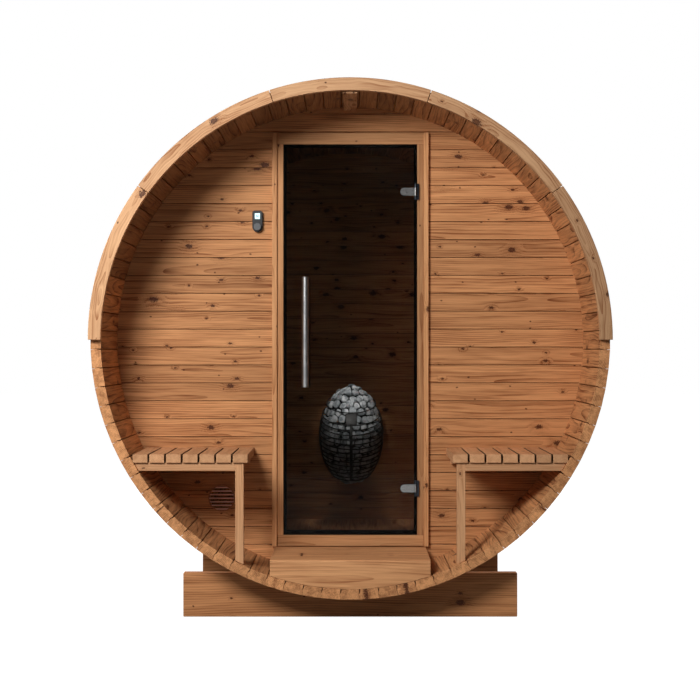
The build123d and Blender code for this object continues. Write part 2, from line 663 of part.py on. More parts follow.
def heater_bracket():
    """Wall plate with two arms that reach the back of the cage."""
    half = BRACKET_PLATE_WIDTH / 2
    middle = HEATER_Z
    low = middle - BRACKET_PLATE_HEIGHT / 2
    high = middle + BRACKET_PLATE_HEIGHT / 2
    y_plate = Y_REAR_WALL - BRACKET_PLATE_THICKNESS
    bracket = block(HEATER_X - half, HEATER_X + half, y_plate, Y_REAR_WALL, low, high)
    for side in (-1, 1):
        z = middle + side * BRACKET_ARM_SPACING / 2
        arm_half = BRACKET_ARM_HEIGHT / 2
        bracket += block(
            HEATER_X - BRACKET_ARM_WIDTH / 2,
            HEATER_X + BRACKET_ARM_WIDTH / 2,
            Y_HEATER,
            y_plate,
            z - arm_half,
            z + arm_half,
        )
    reach = CAGE_WIRE_RADIUS + SEAT_CLEARANCE
    return bracket - heater_place() * ellipsoid(CAGE_RADIUS + reach, CAGE_HALF_HEIGHT + reach)


def all_nodes():
    """Every sub-part: its name, and its solids."""
    nodes = {}
    for group in range(STAVE_GROUPS):
        hour = group if group else STAVE_GROUPS
        nodes[f"barrel_staves_{hour:02d}_oclock"] = stave_group(group)
    nodes["front_arch_trim"] = arch_trim(Y_FRONT - TRIM_THICKNESS, Y_FRONT, True)
    nodes["rear_arch_trim"] = arch_trim(Y_REAR, Y_REAR + TRIM_THICKNESS, False)
    nodes["crown_batten"] = [crown_batten()]
    left, right, over, under = front_wall_pieces()
    nodes["front_wall_left"] = [left]
    nodes["front_wall_right"] = [right]
    nodes["front_wall_over_door"] = [over]
    nodes["front_wall_under_door"] = [under]
    nodes["rear_wall"] = [end_wall(Y_REAR_WALL, Y_REAR_WALL_BACK)]
    nodes["door_jambs"] = door_jambs()
    nodes["door_casings"] = door_casings()
    nodes["door_head"] = [door_head()]
    nodes["door_sill"] = [door_sill()]
    nodes["door_gasket"] = [door_gasket()]
    nodes["door_glass"] = [door_glass()]
    nodes["door_handle_outer"] = [outer_handle()]
    nodes["door_handle_inner"] = [inner_handle()]
    nodes["door_hinge_arms"] = [hinge_arm(z) for z in HINGE_HEIGHTS]
    nodes["door_hinge_plates"] = [hinge_plate(z) for z in HINGE_HEIGHTS]
    nodes["controller_case"] = [controller_case()]
    nodes["controller_knob"] = [controller_knob()]
    nodes["wall_vent"] = [wall_vent()]
    slats = bench_slats()
    nodes["right_bench_slats"] = slats
    nodes["left_bench_slats"] = [mirror(slat, about=Plane.YZ) for slat in slats]
    nodes["bench_rails"] = [piece for rail in bench_rails() for piece in both_sides(rail)]
    nodes["bench_posts"] = both_sides(bench_post())
    nodes["porch_floor"] = [porch_floor()]
    nodes["porch_fascia"] = [porch_fascia()]
    nodes["porch_bearers"] = porch_bearers()
    nodes["room_floor"] = [room_floor()]
    nodes["cradles"] = cradles()
    nodes["steel_bands"] = steel_bands()
    nodes["heater_stones"] = [heater_stones()]
    nodes["heater_cage"] = cage_rings() + cage_strips()
    nodes["heater_bracket"] = [heater_bracket()]
    return nodes


os.makedirs("parts", exist_ok=True)
for name, pieces in all_nodes().items():
    solids = [solid for piece in pieces for solid in piece.solids()]
    export_step(Compound(children=solids), f"parts/{name}.step")
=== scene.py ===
# %% [markdown]
# # A barrel sauna, dressed in wood
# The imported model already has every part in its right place, in metres. This lesson gives those
# parts the look of the real thing: eased boards with their own grain, smoked glass, steel and
# heater stones. First the frame is loaded, because every piece is measured from it.

# %% Load the model
import bpy
import bmesh
import math
import random
from mathutils import Matrix, Vector


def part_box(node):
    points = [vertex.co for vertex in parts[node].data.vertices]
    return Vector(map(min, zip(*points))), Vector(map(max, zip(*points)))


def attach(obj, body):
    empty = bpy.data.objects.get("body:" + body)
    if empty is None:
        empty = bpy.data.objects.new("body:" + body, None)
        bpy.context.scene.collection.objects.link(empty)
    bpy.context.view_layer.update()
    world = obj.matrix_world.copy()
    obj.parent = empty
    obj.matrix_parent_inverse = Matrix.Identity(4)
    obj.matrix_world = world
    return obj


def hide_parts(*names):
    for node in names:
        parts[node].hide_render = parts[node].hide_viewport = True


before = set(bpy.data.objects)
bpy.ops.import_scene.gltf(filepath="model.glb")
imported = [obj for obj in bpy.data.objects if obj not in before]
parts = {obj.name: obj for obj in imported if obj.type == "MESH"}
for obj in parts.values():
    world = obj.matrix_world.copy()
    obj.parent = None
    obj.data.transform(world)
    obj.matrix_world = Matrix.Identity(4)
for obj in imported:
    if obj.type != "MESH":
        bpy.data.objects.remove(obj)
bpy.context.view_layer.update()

# %% [markdown]
# ## Things in the scene
# Everything made here is linked to the scene in the same way. A mesh starts as a bmesh, the form
# that the modelling operators work on, and becomes an object when it is ready.

# %% Object helpers
def in_scene(name, data):
    """A new object of some data."""
    thing = bpy.data.objects.new(name, data)
    bpy.context.scene.collection.objects.link(thing)
    return thing


def as_object(name, bm):
    """A new object of a bmesh, which is used up."""
    mesh = bpy.data.meshes.new(name)
    bm.to_mesh(mesh)
    bm.free()
    return in_scene(name, mesh)


# %% [markdown]
# ## The camera
# The photograph was taken from straight ahead, far back, a little below the middle of the barrel.
# A long lens keeps the circle of the barrel from bulging. It could be aimed with a constraint, but
# a plain place and a level turn are easier to check against the picture.

# %% Camera
CAMERA_PLACE = (-0.0012, -7.015, 1.109)
camera_data = bpy.data.cameras.new("camera")
camera_data.lens = 76.36
camera_data.sensor_width = 36.0
camera = in_scene("camera", camera_data)
camera.location = CAMERA_PLACE
camera.rotation_euler = (math.radians(90.0), 0.0, 0.0)
bpy.context.scene.camera = camera
bpy.context.scene.view_settings.view_transform = "Standard"
print("camera stands", -CAMERA_PLACE[1], "m in front")

# %% [markdown]
# ## The barrel in numbers
# A stave barrel is all about one axis. The same few radii decide where staves, walls, floors and
# benches meet, so they are named once here. Heights are measured from that axis.

# %% The barrel's main sizes
AXIS = 1.150                       # height of the barrel's axis
OUTER = 1.050                      # to the middle of a stave's outer face
INNER = 1.008                      # to the middle of its inner face
SCRIBE = 1.0077                    # round of the boards that sit on the staves
WIDE = 1.2                         # round of a blank that the barrel doesn't trim
STAVES = 84
Y_FRONT, Y_REAR = -1.015, 1.015    # the stave ends
Y_WALL, Y_WALL_BACK = -0.585, -0.543
Y_REAR_WALL, Y_REAR_WALL_BACK = 0.915, 0.957
X, Y, Z = (1, 0, 0), (0, 1, 0), (0, 0, 1)
UPRIGHT = Matrix.Rotation(math.radians(90), 4, "X")      # stands a flat thing up, facing us
chance = random.Random(7)
print("barrel of", STAVES, "staves,", round(2 * OUTER, 2), "m across")

# %% [markdown]
# ## Marking out and sawing
# Every board here starts as a flat outline in the front view and is cut to its limits. That is how
# a joiner works too: mark the round, saw it, plane it. A cube stretched to size would be quicker,
# but its ends wouldn't follow the barrel.

# %% Saw a blank
def round_blank(radius):
    """A flat disc about the barrel's axis, as seen from the front."""
    bm = bmesh.new()
    bmesh.ops.create_circle(bm, cap_ends=True, segments=2 * STAVES, radius=radius)
    bmesh.ops.transform(bm, matrix=Matrix.Translation((0, 0, AXIS)) @ UPRIGHT, verts=bm.verts[:])
    return bm


def saw(bm, point, towards):
    """Cuts through the blank at a point and drops the side that towards points to."""
    everything = bm.verts[:] + bm.edges[:] + bm.faces[:]
    bmesh.ops.bisect_plane(bm, geom=everything, dist=1e-6, plane_co=point, plane_no=towards,
                           clear_outer=True)


sample = round_blank(INNER)
whole_area = sample.faces[:][0].calc_area()
saw(sample, (0, 0, AXIS), Z)
print("sawn in two, the blank keeps", round(sum(f.calc_area() for f in sample.faces) / whole_area, 2))

# %% [markdown]
# ## Thickness and soft edges
# A sawn blank is pulled out to its thickness. No planed board has a knife edge, and a thin bevel
# that catches the light does more for wood than any texture. A Bevel modifier would round every
# edge alike. The operator is told which edges are hard, so the round ends stay round.

# %% Thicken and ease
def grow(bm, step):
    """Gives flat faces a depth."""
    grown = bmesh.ops.extrude_face_region(bm, geom=bm.faces[:])["geom"]
    moved = [item for item in grown if isinstance(item, bmesh.types.BMVert)]
    bmesh.ops.translate(bm, verts=moved, vec=step)
    bmesh.ops.recalc_face_normals(bm, faces=bm.faces[:])


def thicken(bm, y_near, y_far):
    """Gives a flat blank its depth between two planes."""
    bmesh.ops.translate(bm, verts=bm.verts[:], vec=(0, y_near, 0))
    grow(bm, (0, y_far - y_near, 0))


def soften(bm, geometry, size, segments, affect="EDGES"):
    """Rounds some edges, or some corners of an outline."""
    bmesh.ops.bevel(bm, geom=geometry, offset=size, affect=affect, segments=segments,
                    profile=0.5, material=-1, clamp_overlap=True)


def ease(bm, size, sharp=25.0):
    """Takes the sharpness off every edge of a board."""
    hard = [e for e in bm.edges
            if len(e.link_faces) == 2 and e.calc_face_angle(0.0) > math.radians(sharp)]
    soften(bm, hard, size, 2)


thicken(sample, Y_WALL, Y_WALL_BACK)
flat_sides = len(sample.faces)
ease(sample, 0.0015)
print("easing takes the sample from", flat_sides, "to", len(sample.faces), "faces")
sample.free()

# %% [markdown]
# ## Grain that belongs to the board
# Wood isn't printed on a board, it runs through it. Each board remembers where it was in its own
# log: how far along, and how far from the pith in two directions. The wood shader reads this
# attribute, so end grain, faces and eased edges all agree, and no two boards look alike.

# %% Remember the log in every board
LOG_LENGTH = 40.0


def log_marks(bm, along, across, depth, middle, tone=None, knots=None, pith_at=(0.02, 0.09)):
    """Writes the board's place in its log, its shade and its share of knots on its points."""
    place = bm.verts.layers.float_vector.new("grain")
    shade = bm.verts.layers.float.new("tone")
    knotty = bm.verts.layers.float.new("knots")
    start = chance.uniform(0.0, LOG_LENGTH)
    pith = (chance.uniform(-0.05, 0.05), chance.uniform(*pith_at))
    tone = chance.random() if tone is None else tone
    knots = chance.uniform(0.25, 1.0) if knots is None else knots
    along, across, depth = Vector(along), Vector(across), Vector(depth)
    for v in bm.verts:
        p = v.co - Vector(middle)
        v[place] = (p.dot(along) + start, p.dot(across) + pith[0], p.dot(depth) + pith[1])
        v[shade] = tone
        v[knotty] = knots


def board_in_round(radius, x, y, z, run, easing=0.0015, tone=None, knots=None):
    """A board between two limits on each axis, whose ends follow a circle about the axis."""
    bm = round_blank(radius)
    for limit, side in ((x[0], -1), (x[1], 1)):
        saw(bm, (limit, 0, AXIS), (side, 0, 0))
    for limit, side in ((z[0], -1), (z[1], 1)):
        saw(bm, (0, 0, AXIS + limit), (0, 0, side))
    thicken(bm, y[0], y[1])
    ease(bm, easing)
    middle = ((x[0] + x[1]) / 2, (y[0] + y[1]) / 2, AXIS + (z[0] + z[1]) / 2)
    sides = {"x": (X, Z, Y), "y": (Y, X, Z), "z": (Z, X, Y)}[run]
    log_marks(bm, *sides, middle, tone, knots)
    return bm


print("boards are cut from logs of", LOG_LENGTH, "m")

# %% [markdown]
# ## From boards to a piece
# A wall of many boards is one piece of the model. Joining the boards' meshes keeps each board's
# marks, and the object itself stays at the origin, as the model's own parts do.

# %% Join boards into a piece
def join_boards(name, boards, finish, stands_for, smooth=False):
    """One object of many boards, on the sauna's own body, that stands for some parts."""
    whole = bmesh.new()
    for bm in boards:
        spare = bpy.data.meshes.new("spare")
        bm.to_mesh(spare)
        bm.free()
        whole.from_mesh(spare)
        bpy.data.meshes.remove(spare)
    piece = as_object(name, whole)
    for polygon in piece.data.polygons:
        polygon.use_smooth = smooth
    piece.data.materials.append(finish)
    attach(piece, "sauna")
    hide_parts(*stands_for)
    print(name, "has", len(boards), "boards and", len(piece.data.polygons), "faces")


# %% [markdown]
# ## Colours as they are seen
# Colours are easiest to judge as the 0 to 255 numbers of a picture, but a shader wants linear
# light. This small helper turns one into the other.

# %% Colour helper
def seen(red, green, blue):
    """A colour as a picture shows it, for a shader."""
    def linear(c):
        c = c / 255.0
        return c / 12.92 if c <= 0.04045 else ((c + 0.055) / 1.055) ** 2.4
    return (linear(red), linear(green), linear(blue), 1.0)


print("a middle grey is", round(seen(128, 128, 128)[0], 3), "in linear light")

# %% [markdown]
# ## Wiring nodes
# Node setups get long, so short helpers add a node, set its values and plug in its inputs. An
# input takes either a plain value or another node's output. Each helper is tried on a spare tree.

# %% Add and feed a node
def feed(tree, node, inputs):
    """Sets a node's inputs, each to a value or to another node's output."""
    for key, item in inputs.items():
        if isinstance(item, bpy.types.NodeSocket):
            tree.links.new(item, node.inputs[key])
        else:
            node.inputs[key].default_value = item


def add(tree, kind, inputs=None, **settings):
    """A node with its settings and its inputs."""
    node = tree.nodes.new(kind)
    for key, value in settings.items():
        setattr(node, key, value)
    feed(tree, node, inputs or {})
    return node


trial = bpy.data.node_groups.new("trial", "ShaderNodeTree")
half = add(trial, "ShaderNodeValue")
print("the spare tree has", len(trial.nodes), "node")

# %% [markdown]
# ## Sums in nodes
# Patterns are made of sums: how far from the pith, how near to a knot. Written as calls they read
# from the inside out, as a formula does, which is easier to follow than a picture of fifty boxes.

# %% Sums on numbers and vectors
def maths(tree, operation, *terms, clamp=False):
    """A sum on numbers."""
    return add(tree, "ShaderNodeMath", dict(enumerate(terms)), operation=operation,
               use_clamp=clamp).outputs[0]


def vectors(tree, operation, *terms):
    """A sum on vectors. Only a length comes out as a number."""
    node = add(tree, "ShaderNodeVectorMath", dict(enumerate(terms)), operation=operation)
    return node.outputs[1 if operation == "LENGTH" else 0]


maths(trial, "ADD", half.outputs[0], 0.5)
vectors(trial, "LENGTH", (3.0, 4.0, 0.0))
print("with two sums it has", len(trial.nodes), "nodes")

# %% [markdown]
# ## Clouds, steps, colours and bumps
# Four things come back in every finish here: a cloudy texture, a soft step that turns it into a
# mask, a mix of two colours by that mask, and a bump from it.

# %% Texture helpers
def noise(tree, where, scale, detail, roughness=0.5):
    """The two outputs of a cloudy texture."""
    return add(tree, "ShaderNodeTexNoise", {"Vector": where, "Scale": scale, "Detail": detail,
                                            "Roughness": roughness}).outputs


def ramp(tree, value, low, high, out_low=0.0, out_high=1.0):
    """A smooth step of a value between two limits."""
    limits = {"From Min": low, "From Max": high, "To Min": out_low, "To Max": out_high}
    return add(tree, "ShaderNodeMapRange", {"Value": value, **limits},
               interpolation_type="SMOOTHSTEP").outputs["Result"]


def mix_colours(tree, share, first, second, blend="MIX"):
    """One colour over another."""
    return add(tree, "ShaderNodeMix", {0: share, 6: first, 7: second}, data_type="RGBA",
               blend_type=blend).outputs[2]


def bumps(tree, height, strength, distance):
    """A normal that follows small heights."""
    return add(tree, "ShaderNodeBump", {"Height": height, "Strength": strength,
                                        "Distance": distance}).outputs["Normal"]


cloud = noise(trial, (0.0, 0.0, 0.0), 5.0, 2.0)["Fac"]
mix_colours(trial, ramp(trial, cloud, 0.4, 0.6), seen(0, 0, 0), seen(255, 255, 255))
bumps(trial, cloud, 0.5, 0.001)
print("with a cloudy pattern it has", len(trial.nodes), "nodes")

# %% [markdown]
# ## Materials and shared groups
# What several finishes share is built once as a group with named sockets. Each material then
# places the group with its own values, so a change to the grain reaches every board at once.

# %% Material and group helpers
def new_material(name):
    """A material, its nodes and its main shader."""
    material = bpy.data.materials.new(name)
    material.use_nodes = True
    return material, material.node_tree, material.node_tree.nodes["Principled BSDF"]


FLOAT, COLOUR, VECTOR = "NodeSocketFloat", "NodeSocketColor", "NodeSocketVector"


def new_group(name, inputs, outputs):
    """An empty node group with named sockets: the group, what it is given and its output."""
    group = bpy.data.node_groups.new(name, "ShaderNodeTree")
    for label, kind, value in inputs:
        socket = group.interface.new_socket(label, in_out="INPUT", socket_type=kind)
        if value is not None:
            socket.default_value = value
    for label, kind in outputs:
        group.interface.new_socket(label, in_out="OUTPUT", socket_type=kind)
    return group, group.nodes.new("NodeGroupInput").outputs, group.nodes.new("NodeGroupOutput")


empty = new_group("empty", [("Share", FLOAT, 0.5)], [("Color", COLOUR)])[0]
print("a new group starts with", len(empty.nodes), "nodes")
bpy.data.node_groups.remove(empty)

# %% [markdown]
# ## Knots
# A knot is a spot near one of many scattered points on the board's face, with a ragged edge, a
# lighter heart and a halo that the rings flow round. A point's own chance numbers decide whether
# its knot is there and how big it is. Pin knots are more of the same, and much smaller.

# %% Knot masks
def to_both_sides(group, colour, reach):
    """A cloudy colour as a push to either side."""
    return vectors(group, "MULTIPLY", vectors(group, "SUBTRACT", colour, (0.5, 0.5, 0.5)), reach)


def scattered_spots(group, spot, density, scale):
    """Distance to the nearest of many scattered points, and that point's three chance numbers."""
    cells = vectors(group, "MULTIPLY", spot, density)
    scatter = add(group, "ShaderNodeTexVoronoi", {"Vector": cells, "Scale": 1.0,
                                                  "Randomness": 0.9}, voronoi_dimensions="2D").outputs
    reach = vectors(group, "MULTIPLY", vectors(group, "SUBTRACT", cells, scatter["Position"]), scale)
    luck = add(group, "ShaderNodeSeparateColor", {0: scatter["Color"]}).outputs
    return vectors(group, "LENGTH", reach), luck


def knot_masks(group, grain, share):
    """Where knots, their halos, their hearts and pin knots are."""
    ragged = to_both_sides(group, noise(group, grain, 90.0, 2.0)["Color"], (0.010, 0.006, 0.0))
    spot = vectors(group, "ADD", grain, ragged)
    near, luck = scattered_spots(group, spot, (6.5, 15.0, 0.0), (1 / 11.0, 1 / 15.0, 0.0))
    wanted = maths(group, "LESS_THAN", luck[0], maths(group, "MULTIPLY", share, 0.75))
    size = maths(group, "MULTIPLY", maths(group, "POWER", luck[1], 2.2), 0.0085)
    near = maths(group, "DIVIDE", near, maths(group, "ADD", size, 0.0035))
    edge = ramp(group, noise(group, grain, 260.0, 2.0)["Fac"], 0.3, 0.7, -0.35, 0.35)
    near = maths(group, "ADD", near, edge)
    knot, halo, heart = (maths(group, "MULTIPLY", wanted, ramp(group, near, outside, inside))
                         for outside, inside in ((1.2, 0.75), (4.0, 0.8), (0.55, 0.1)))
    near, luck = scattered_spots(group, spot, (13.0, 31.0, 0.0), (1 / 19.0, 1 / 31.0, 0.0))
    few = maths(group, "LESS_THAN", luck[0], maths(group, "MULTIPLY", share, 0.1))
    pin = maths(group, "MULTIPLY", few, ramp(group, near, 0.0042, 0.002))
    return knot, halo, heart, pin


before = len(trial.nodes)
masks = knot_masks(trial, (0.0, 0.0, 0.0), 0.5)
print(len(masks), "knot masks take", len(trial.nodes) - before, "nodes")

# %% [markdown]
# ## Rings and fibres
# A growth ring ends in a thin dark line of late wood. The rings are drawn by their distance from
# the pith, which gives straight grain, cathedral arches and end grain alike. A stretched noise
# alone would do for a plain board, but its ends would give it away. It does for the fine fibres.

# %% Rings and fibres
def late_wood(group, bent, halo, gap):
    """The dark end of each growth ring, pushed aside near a knot."""
    radius = vectors(group, "LENGTH", vectors(group, "MULTIPLY", bent, (0.0, 1.0, 1.0)))
    radius = maths(group, "ADD", radius, maths(group, "MULTIPLY", halo, 0.009))
    turns = maths(group, "DIVIDE", radius, gap)
    return maths(group, "POWER", maths(group, "FRACT", turns), 3.0)


def drawn_out(group, where, stretch, detail, roughness):
    """A cloudy value, long along the board and fine across it."""
    return noise(group, vectors(group, "MULTIPLY", where, stretch), 1.0, detail, roughness)["Fac"]


before = len(trial.nodes)
late_wood(trial, (0.0, 0.0, 0.0), 0.0, 0.0085)
drawn_out(trial, (0.0, 0.0, 0.0), (9.0, 420.0, 420.0), 3.0, 0.6)
print("rings and fibres take", len(trial.nodes) - before, "nodes")
bpy.data.node_groups.remove(trial)

# %% [markdown]
# ## Knotty softwood, built once
# The real boards are a heat-treated softwood: warm brown, with darker rings drawn out along the
# board, small dark knots and fine fibres. All the woods of the sauna use this one group with
# their own colours, because they came from one timber.

# %% The shared wood group
KNOT_WOOD = seen(62, 26, 15)


def knotty_wood_group():
    """Colour, roughness and height of wood, from the marks of a board."""
    group, given, out = new_group(
        "knotty wood",
        [("Grain", VECTOR, None), ("Tone", FLOAT, None), ("Knots", FLOAT, None),
         ("Light wood", COLOUR, None), ("Dark wood", COLOUR, None), ("Ring gap", FLOAT, None),
         ("Ring strength", FLOAT, None), ("Wander", FLOAT, None)],
        [("Color", COLOUR), ("Roughness", FLOAT), ("Height", FLOAT)])
    grain, dark_wood = given["Grain"], given["Dark wood"]

    # slow waves in the log, so the rings wander along the board
    pace = add(group, "ShaderNodeCombineXYZ", {0: given["Wander"], 1: 5.0, 2: 5.0}).outputs[0]
    waves = noise(group, vectors(group, "MULTIPLY", grain, pace), 1.0, 2.0)["Color"]
    bent = vectors(group, "ADD", grain, to_both_sides(group, waves, (0.0, 0.045, 0.045)))

    knot, halo, heart, pin = knot_masks(group, grain, given["Knots"])
    late = late_wood(group, bent, halo, given["Ring gap"])
    fibre = drawn_out(group, grain, (9.0, 420.0, 420.0), 3.0, 0.6)
    patch = drawn_out(group, bent, (2.6, 34.0, 34.0), 3.0, 0.6)
    streak = drawn_out(group, bent, (3.5, 150.0, 150.0), 2.0, 0.5)

    # light early wood and darker late wood, with fibres, streaks and slow patches
    rings = maths(group, "MULTIPLY", late, given["Ring strength"])
    dark = maths(group, "MULTIPLY", rings, ramp(group, patch, 0.35, 0.65, 0.35, 1.0))
    for value, *limits in ((fibre, 0.35, 0.75, 0.0, 0.22), (streak, 0.3, 0.72, -0.03, 0.2),
                           (patch, 0.32, 0.7, -0.08, 0.22)):
        dark = maths(group, "ADD", dark, ramp(group, value, *limits))
    dark = maths(group, "ADD", dark, maths(group, "MULTIPLY", halo, 0.22), clamp=True)
    wood = mix_colours(group, dark, given["Light wood"], dark_wood)

    # the board's own shade, then its knots
    level = maths(group, "ADD", maths(group, "MULTIPLY", given["Tone"], 0.36), 0.78)
    grey = add(group, "ShaderNodeCombineXYZ", {0: level, 1: level, 2: level}).outputs[0]
    wood = mix_colours(group, 1.0, wood, grey, "MULTIPLY")
    for mask, share, colour in ((knot, 0.9, KNOT_WOOD), (heart, 0.3, dark_wood),
                                (pin, 0.85, KNOT_WOOD)):
        wood = mix_colours(group, maths(group, "MULTIPLY", mask, share), wood, colour)

    rough = ramp(group, fibre, 0.3, 0.7, 0.52, 0.68)
    rough = maths(group, "SUBTRACT", rough, maths(group, "MULTIPLY", knot, 0.12))
    height = maths(group, "MULTIPLY", fibre, 0.8)
    for mask, depth in ((late, 0.45), (knot, 0.5)):
        height = maths(group, "SUBTRACT", height, maths(group, "MULTIPLY", mask, depth))
    feed(group, out, {"Color": wood, "Roughness": rough, "Height": height})
    return group


wood_group = knotty_wood_group()
print("wood group has", len(wood_group.nodes), "nodes")

# %% [markdown]
# ## A finish for each kind of board
# The walls, staves, trims and benches came from one timber, but they differ: the arch trim is a
# pale sapwood board, the staves are redder, the cradles are rougher. Each finish places the group
# with its own colours.

# %% Wood finishes
def wood_finish(name, light, dark, gap=0.0085, strength=0.72, bump=0.35, wander=1.3):
    """A wood material that reads the marks of its boards."""
    material, tree, shader = new_material(name)
    grain, tone, knots = (add(tree, "ShaderNodeAttribute", attribute_name=mark).outputs
                          for mark in ("grain", "tone", "knots"))
    wood = add(tree, "ShaderNodeGroup", {
        "Grain": grain["Vector"], "Tone": tone["Fac"], "Knots": knots["Fac"],
        "Light wood": seen(*light), "Dark wood": seen(*dark), "Ring gap": gap,
        "Ring strength": strength, "Wander": wander}, node_tree=wood_group).outputs
    feed(tree, shader, {"Base Color": wood["Color"], "Roughness": wood["Roughness"],
                        "Specular IOR Level": 0.12,
                        "Normal": bumps(tree, wood["Height"], bump, 0.0006)})
    return material


stave_wood = wood_finish("stave wood", (220, 158, 106), (112, 62, 35), gap=0.0055, strength=0.8,
                         wander=1.1)
trim_wood = wood_finish("trim wood", (212, 166, 124), (150, 98, 62), gap=0.0075, strength=0.9,
                        wander=4.5)
wall_wood = wood_finish("wall wood", (216, 155, 104), (130, 75, 41))
frame_wood = wood_finish("frame wood", (210, 155, 107), (152, 97, 58), gap=0.007, strength=0.6)
bench_wood = wood_finish("bench wood", (216, 164, 120), (168, 114, 76), gap=0.006, strength=0.5)
floor_wood = wood_finish("floor wood", (212, 156, 108), (150, 94, 58), gap=0.009)
cradle_wood = wood_finish("cradle wood", (206, 145, 96), (136, 82, 48), gap=0.01, bump=0.6)
print("wood finishes:", len([m for m in bpy.data.materials if "wood" in m.name]))

# %% [markdown]
# ## Staves
# A stave is a long slat whose edges are cut to a bead and a cove, so that each locks round its
# neighbour without a gap. The profile is drawn as a few points, its corners are rounded with a
# vertex bevel, and the blank is pulled to its length.

# %% One stave's blank
HALF_STAVE = math.radians(180.0 / STAVES)
INSIDE_GAP, OUTSIDE_GAP = 0.0019, 0.0006     # half of the open joint on each face
SHOULDER, BEAD_TIP = 0.010, 0.021            # heights on a stave's edge, from its face
BEAD, COVE = 0.0050, 0.0052                  # how far they reach
# painted shade: the staves over the porch are darkened on their inner faces
CEILING_PAINTED_SHADE = range(67, 93)                      # the staves over the porch, which are dark inside


def stave_blank():
    """The crown stave, lying along Y, with its bead on the right and its cove on the left."""
    bm = bmesh.new()
    right = [(INNER, -INSIDE_GAP), (INNER + SHOULDER, -INSIDE_GAP), (INNER + BEAD_TIP, BEAD),
             (OUTER - SHOULDER, -OUTSIDE_GAP), (OUTER, -OUTSIDE_GAP)]
    left = [(OUTER, OUTSIDE_GAP), (OUTER - SHOULDER, OUTSIDE_GAP), (INNER + BEAD_TIP, COVE),
            (INNER + SHOULDER, INSIDE_GAP), (INNER, INSIDE_GAP)]
    corners = [(height * math.tan(HALF_STAVE) + out, height) for height, out in right]
    corners += [(out - height * math.tan(HALF_STAVE), height) for height, out in left]
    points = [bm.verts.new((x, 0, AXIS + z)) for x, z in corners]
    bmesh.ops.contextual_create(bm, geom=points)
    soften(bm, [points[2], points[7]], 0.008, 4, "VERTICES")
    thicken(bm, Y_FRONT, Y_REAR)
    ease(bm, 0.0009, sharp=60.0)
    return bm


blank = stave_blank()
print("a stave has", len(blank.faces), "faces and is", round(Y_REAR - Y_FRONT, 2), "m long")
blank.free()

# %% [markdown]
# ## Eighty-four staves
# The staves are set round the axis by turning the crown stave. An array would copy one board with
# its grain, and the eye finds such copies at once, so each stave is built by itself from its own
# log. Seven of them make one piece, named by the hours of a clock face.

# %% Staves round the clock
def stave(number):
    """The stave at its turn, clockwise from the crown: pale at its sawn end, with painted shade inside
    on the ceiling.
    """
    bm = stave_blank()
    log_marks(bm, Y, X, Z, (0, 0, AXIS + INNER), chance.uniform(0.3, 0.95),
              chance.uniform(0.05, 0.35), (0.07, 0.16))
    shade = bm.verts.layers.float["tone"]
    # on the ceiling staves the inner points get painted shade, a darker tone where the porch's roof is
    # in shadow
    for v in bm.verts:
        if v.co.y < Y_FRONT + 0.0002:
            v[shade] += 0.35
        elif number in CEILING_PAINTED_SHADE and v.co.z - AXIS < INNER + 0.006:
            v[shade] -= 1.15
    turn = Matrix.Rotation(2 * HALF_STAVE * number, 4, "Y")
    place = Matrix.Translation((0, 0, AXIS)) @ turn @ Matrix.Translation((0, 0, -AXIS))
    bmesh.ops.transform(bm, matrix=place, verts=bm.verts[:])
    return bm


for hour in range(1, 13):
    numbers = range(hour * 7 - 3, hour * 7 + 4)
    join_boards(f"staves_{hour:02d}_oclock", [stave(n) for n in numbers], stave_wood,
                [f"barrel_staves_{hour:02d}_oclock"])

# %% [markdown]
# ## Arch trims
# The end grain of the upper staves is covered by an arch of five curved boards. A curved board is
# a rectangle swept about the barrel's axis, which the spin operator does. Its grain follows the
# arch here, as in boards that were bent to it.

# %% The curved boards
TRIM_IN, TRIM_MIDDLE, TRIM_OUT = 1.005, 1.03, 1.0567
TRIM_THICKNESS = 0.028
TRIM_BOARD = 36                              # degrees
TRIM_JOINT = math.degrees(0.0022 / TRIM_MIDDLE)
# painted light: the boards are paler at the lit left end and darker to the right
TRIM_PAINTED_LIGHT = (1.25, 0.95, 0.65, 0.45, 0.3)   # from the left end to the right


def arch_board(y_near, y_far, start, stop, tone):
    """A curved board between two angles, clockwise from the crown."""
    bm = bmesh.new()
    corners = [(TRIM_IN, y_near), (TRIM_OUT, y_near), (TRIM_OUT, y_far), (TRIM_IN, y_far)]
    points = [bm.verts.new((0, y, AXIS + r)) for r, y in corners]
    bmesh.ops.contextual_create(bm, geom=points)
    turn = Matrix.Rotation(math.radians(start), 4, "Y")
    bmesh.ops.rotate(bm, cent=(0, 0, AXIS), matrix=turn, verts=bm.verts[:])
    bmesh.ops.spin(bm, geom=bm.verts[:] + bm.edges[:] + bm.faces[:], cent=(0, 0, AXIS), axis=Y,
                   dvec=(0, 0, 0), angle=math.radians(stop - start), steps=18, use_merge=False,
                   use_duplicate=False)
    bmesh.ops.recalc_face_normals(bm, faces=bm.faces[:])
    ease(bm, 0.0022)
    log_marks(bm, X, Z, Y, (0, y_near, AXIS), tone, chance.uniform(0.25, 0.6))
    place = bm.verts.layers.float_vector["grain"]
    log = (chance.uniform(0.0, LOG_LENGTH), chance.uniform(-0.02, 0.02), chance.uniform(0.01, 0.03))
    for v in bm.verts:
        out = Vector((v.co.x, v.co.z - AXIS))
        round_way = math.atan2(out.x, out.y) * TRIM_MIDDLE
        v[place] = (round_way + log[0], out.length - TRIM_MIDDLE + log[1], v.co.y - y_near + log[2])
    return bm


print("a trim board is", round(math.radians(TRIM_BOARD) * TRIM_OUT, 2), "m long round the outside")
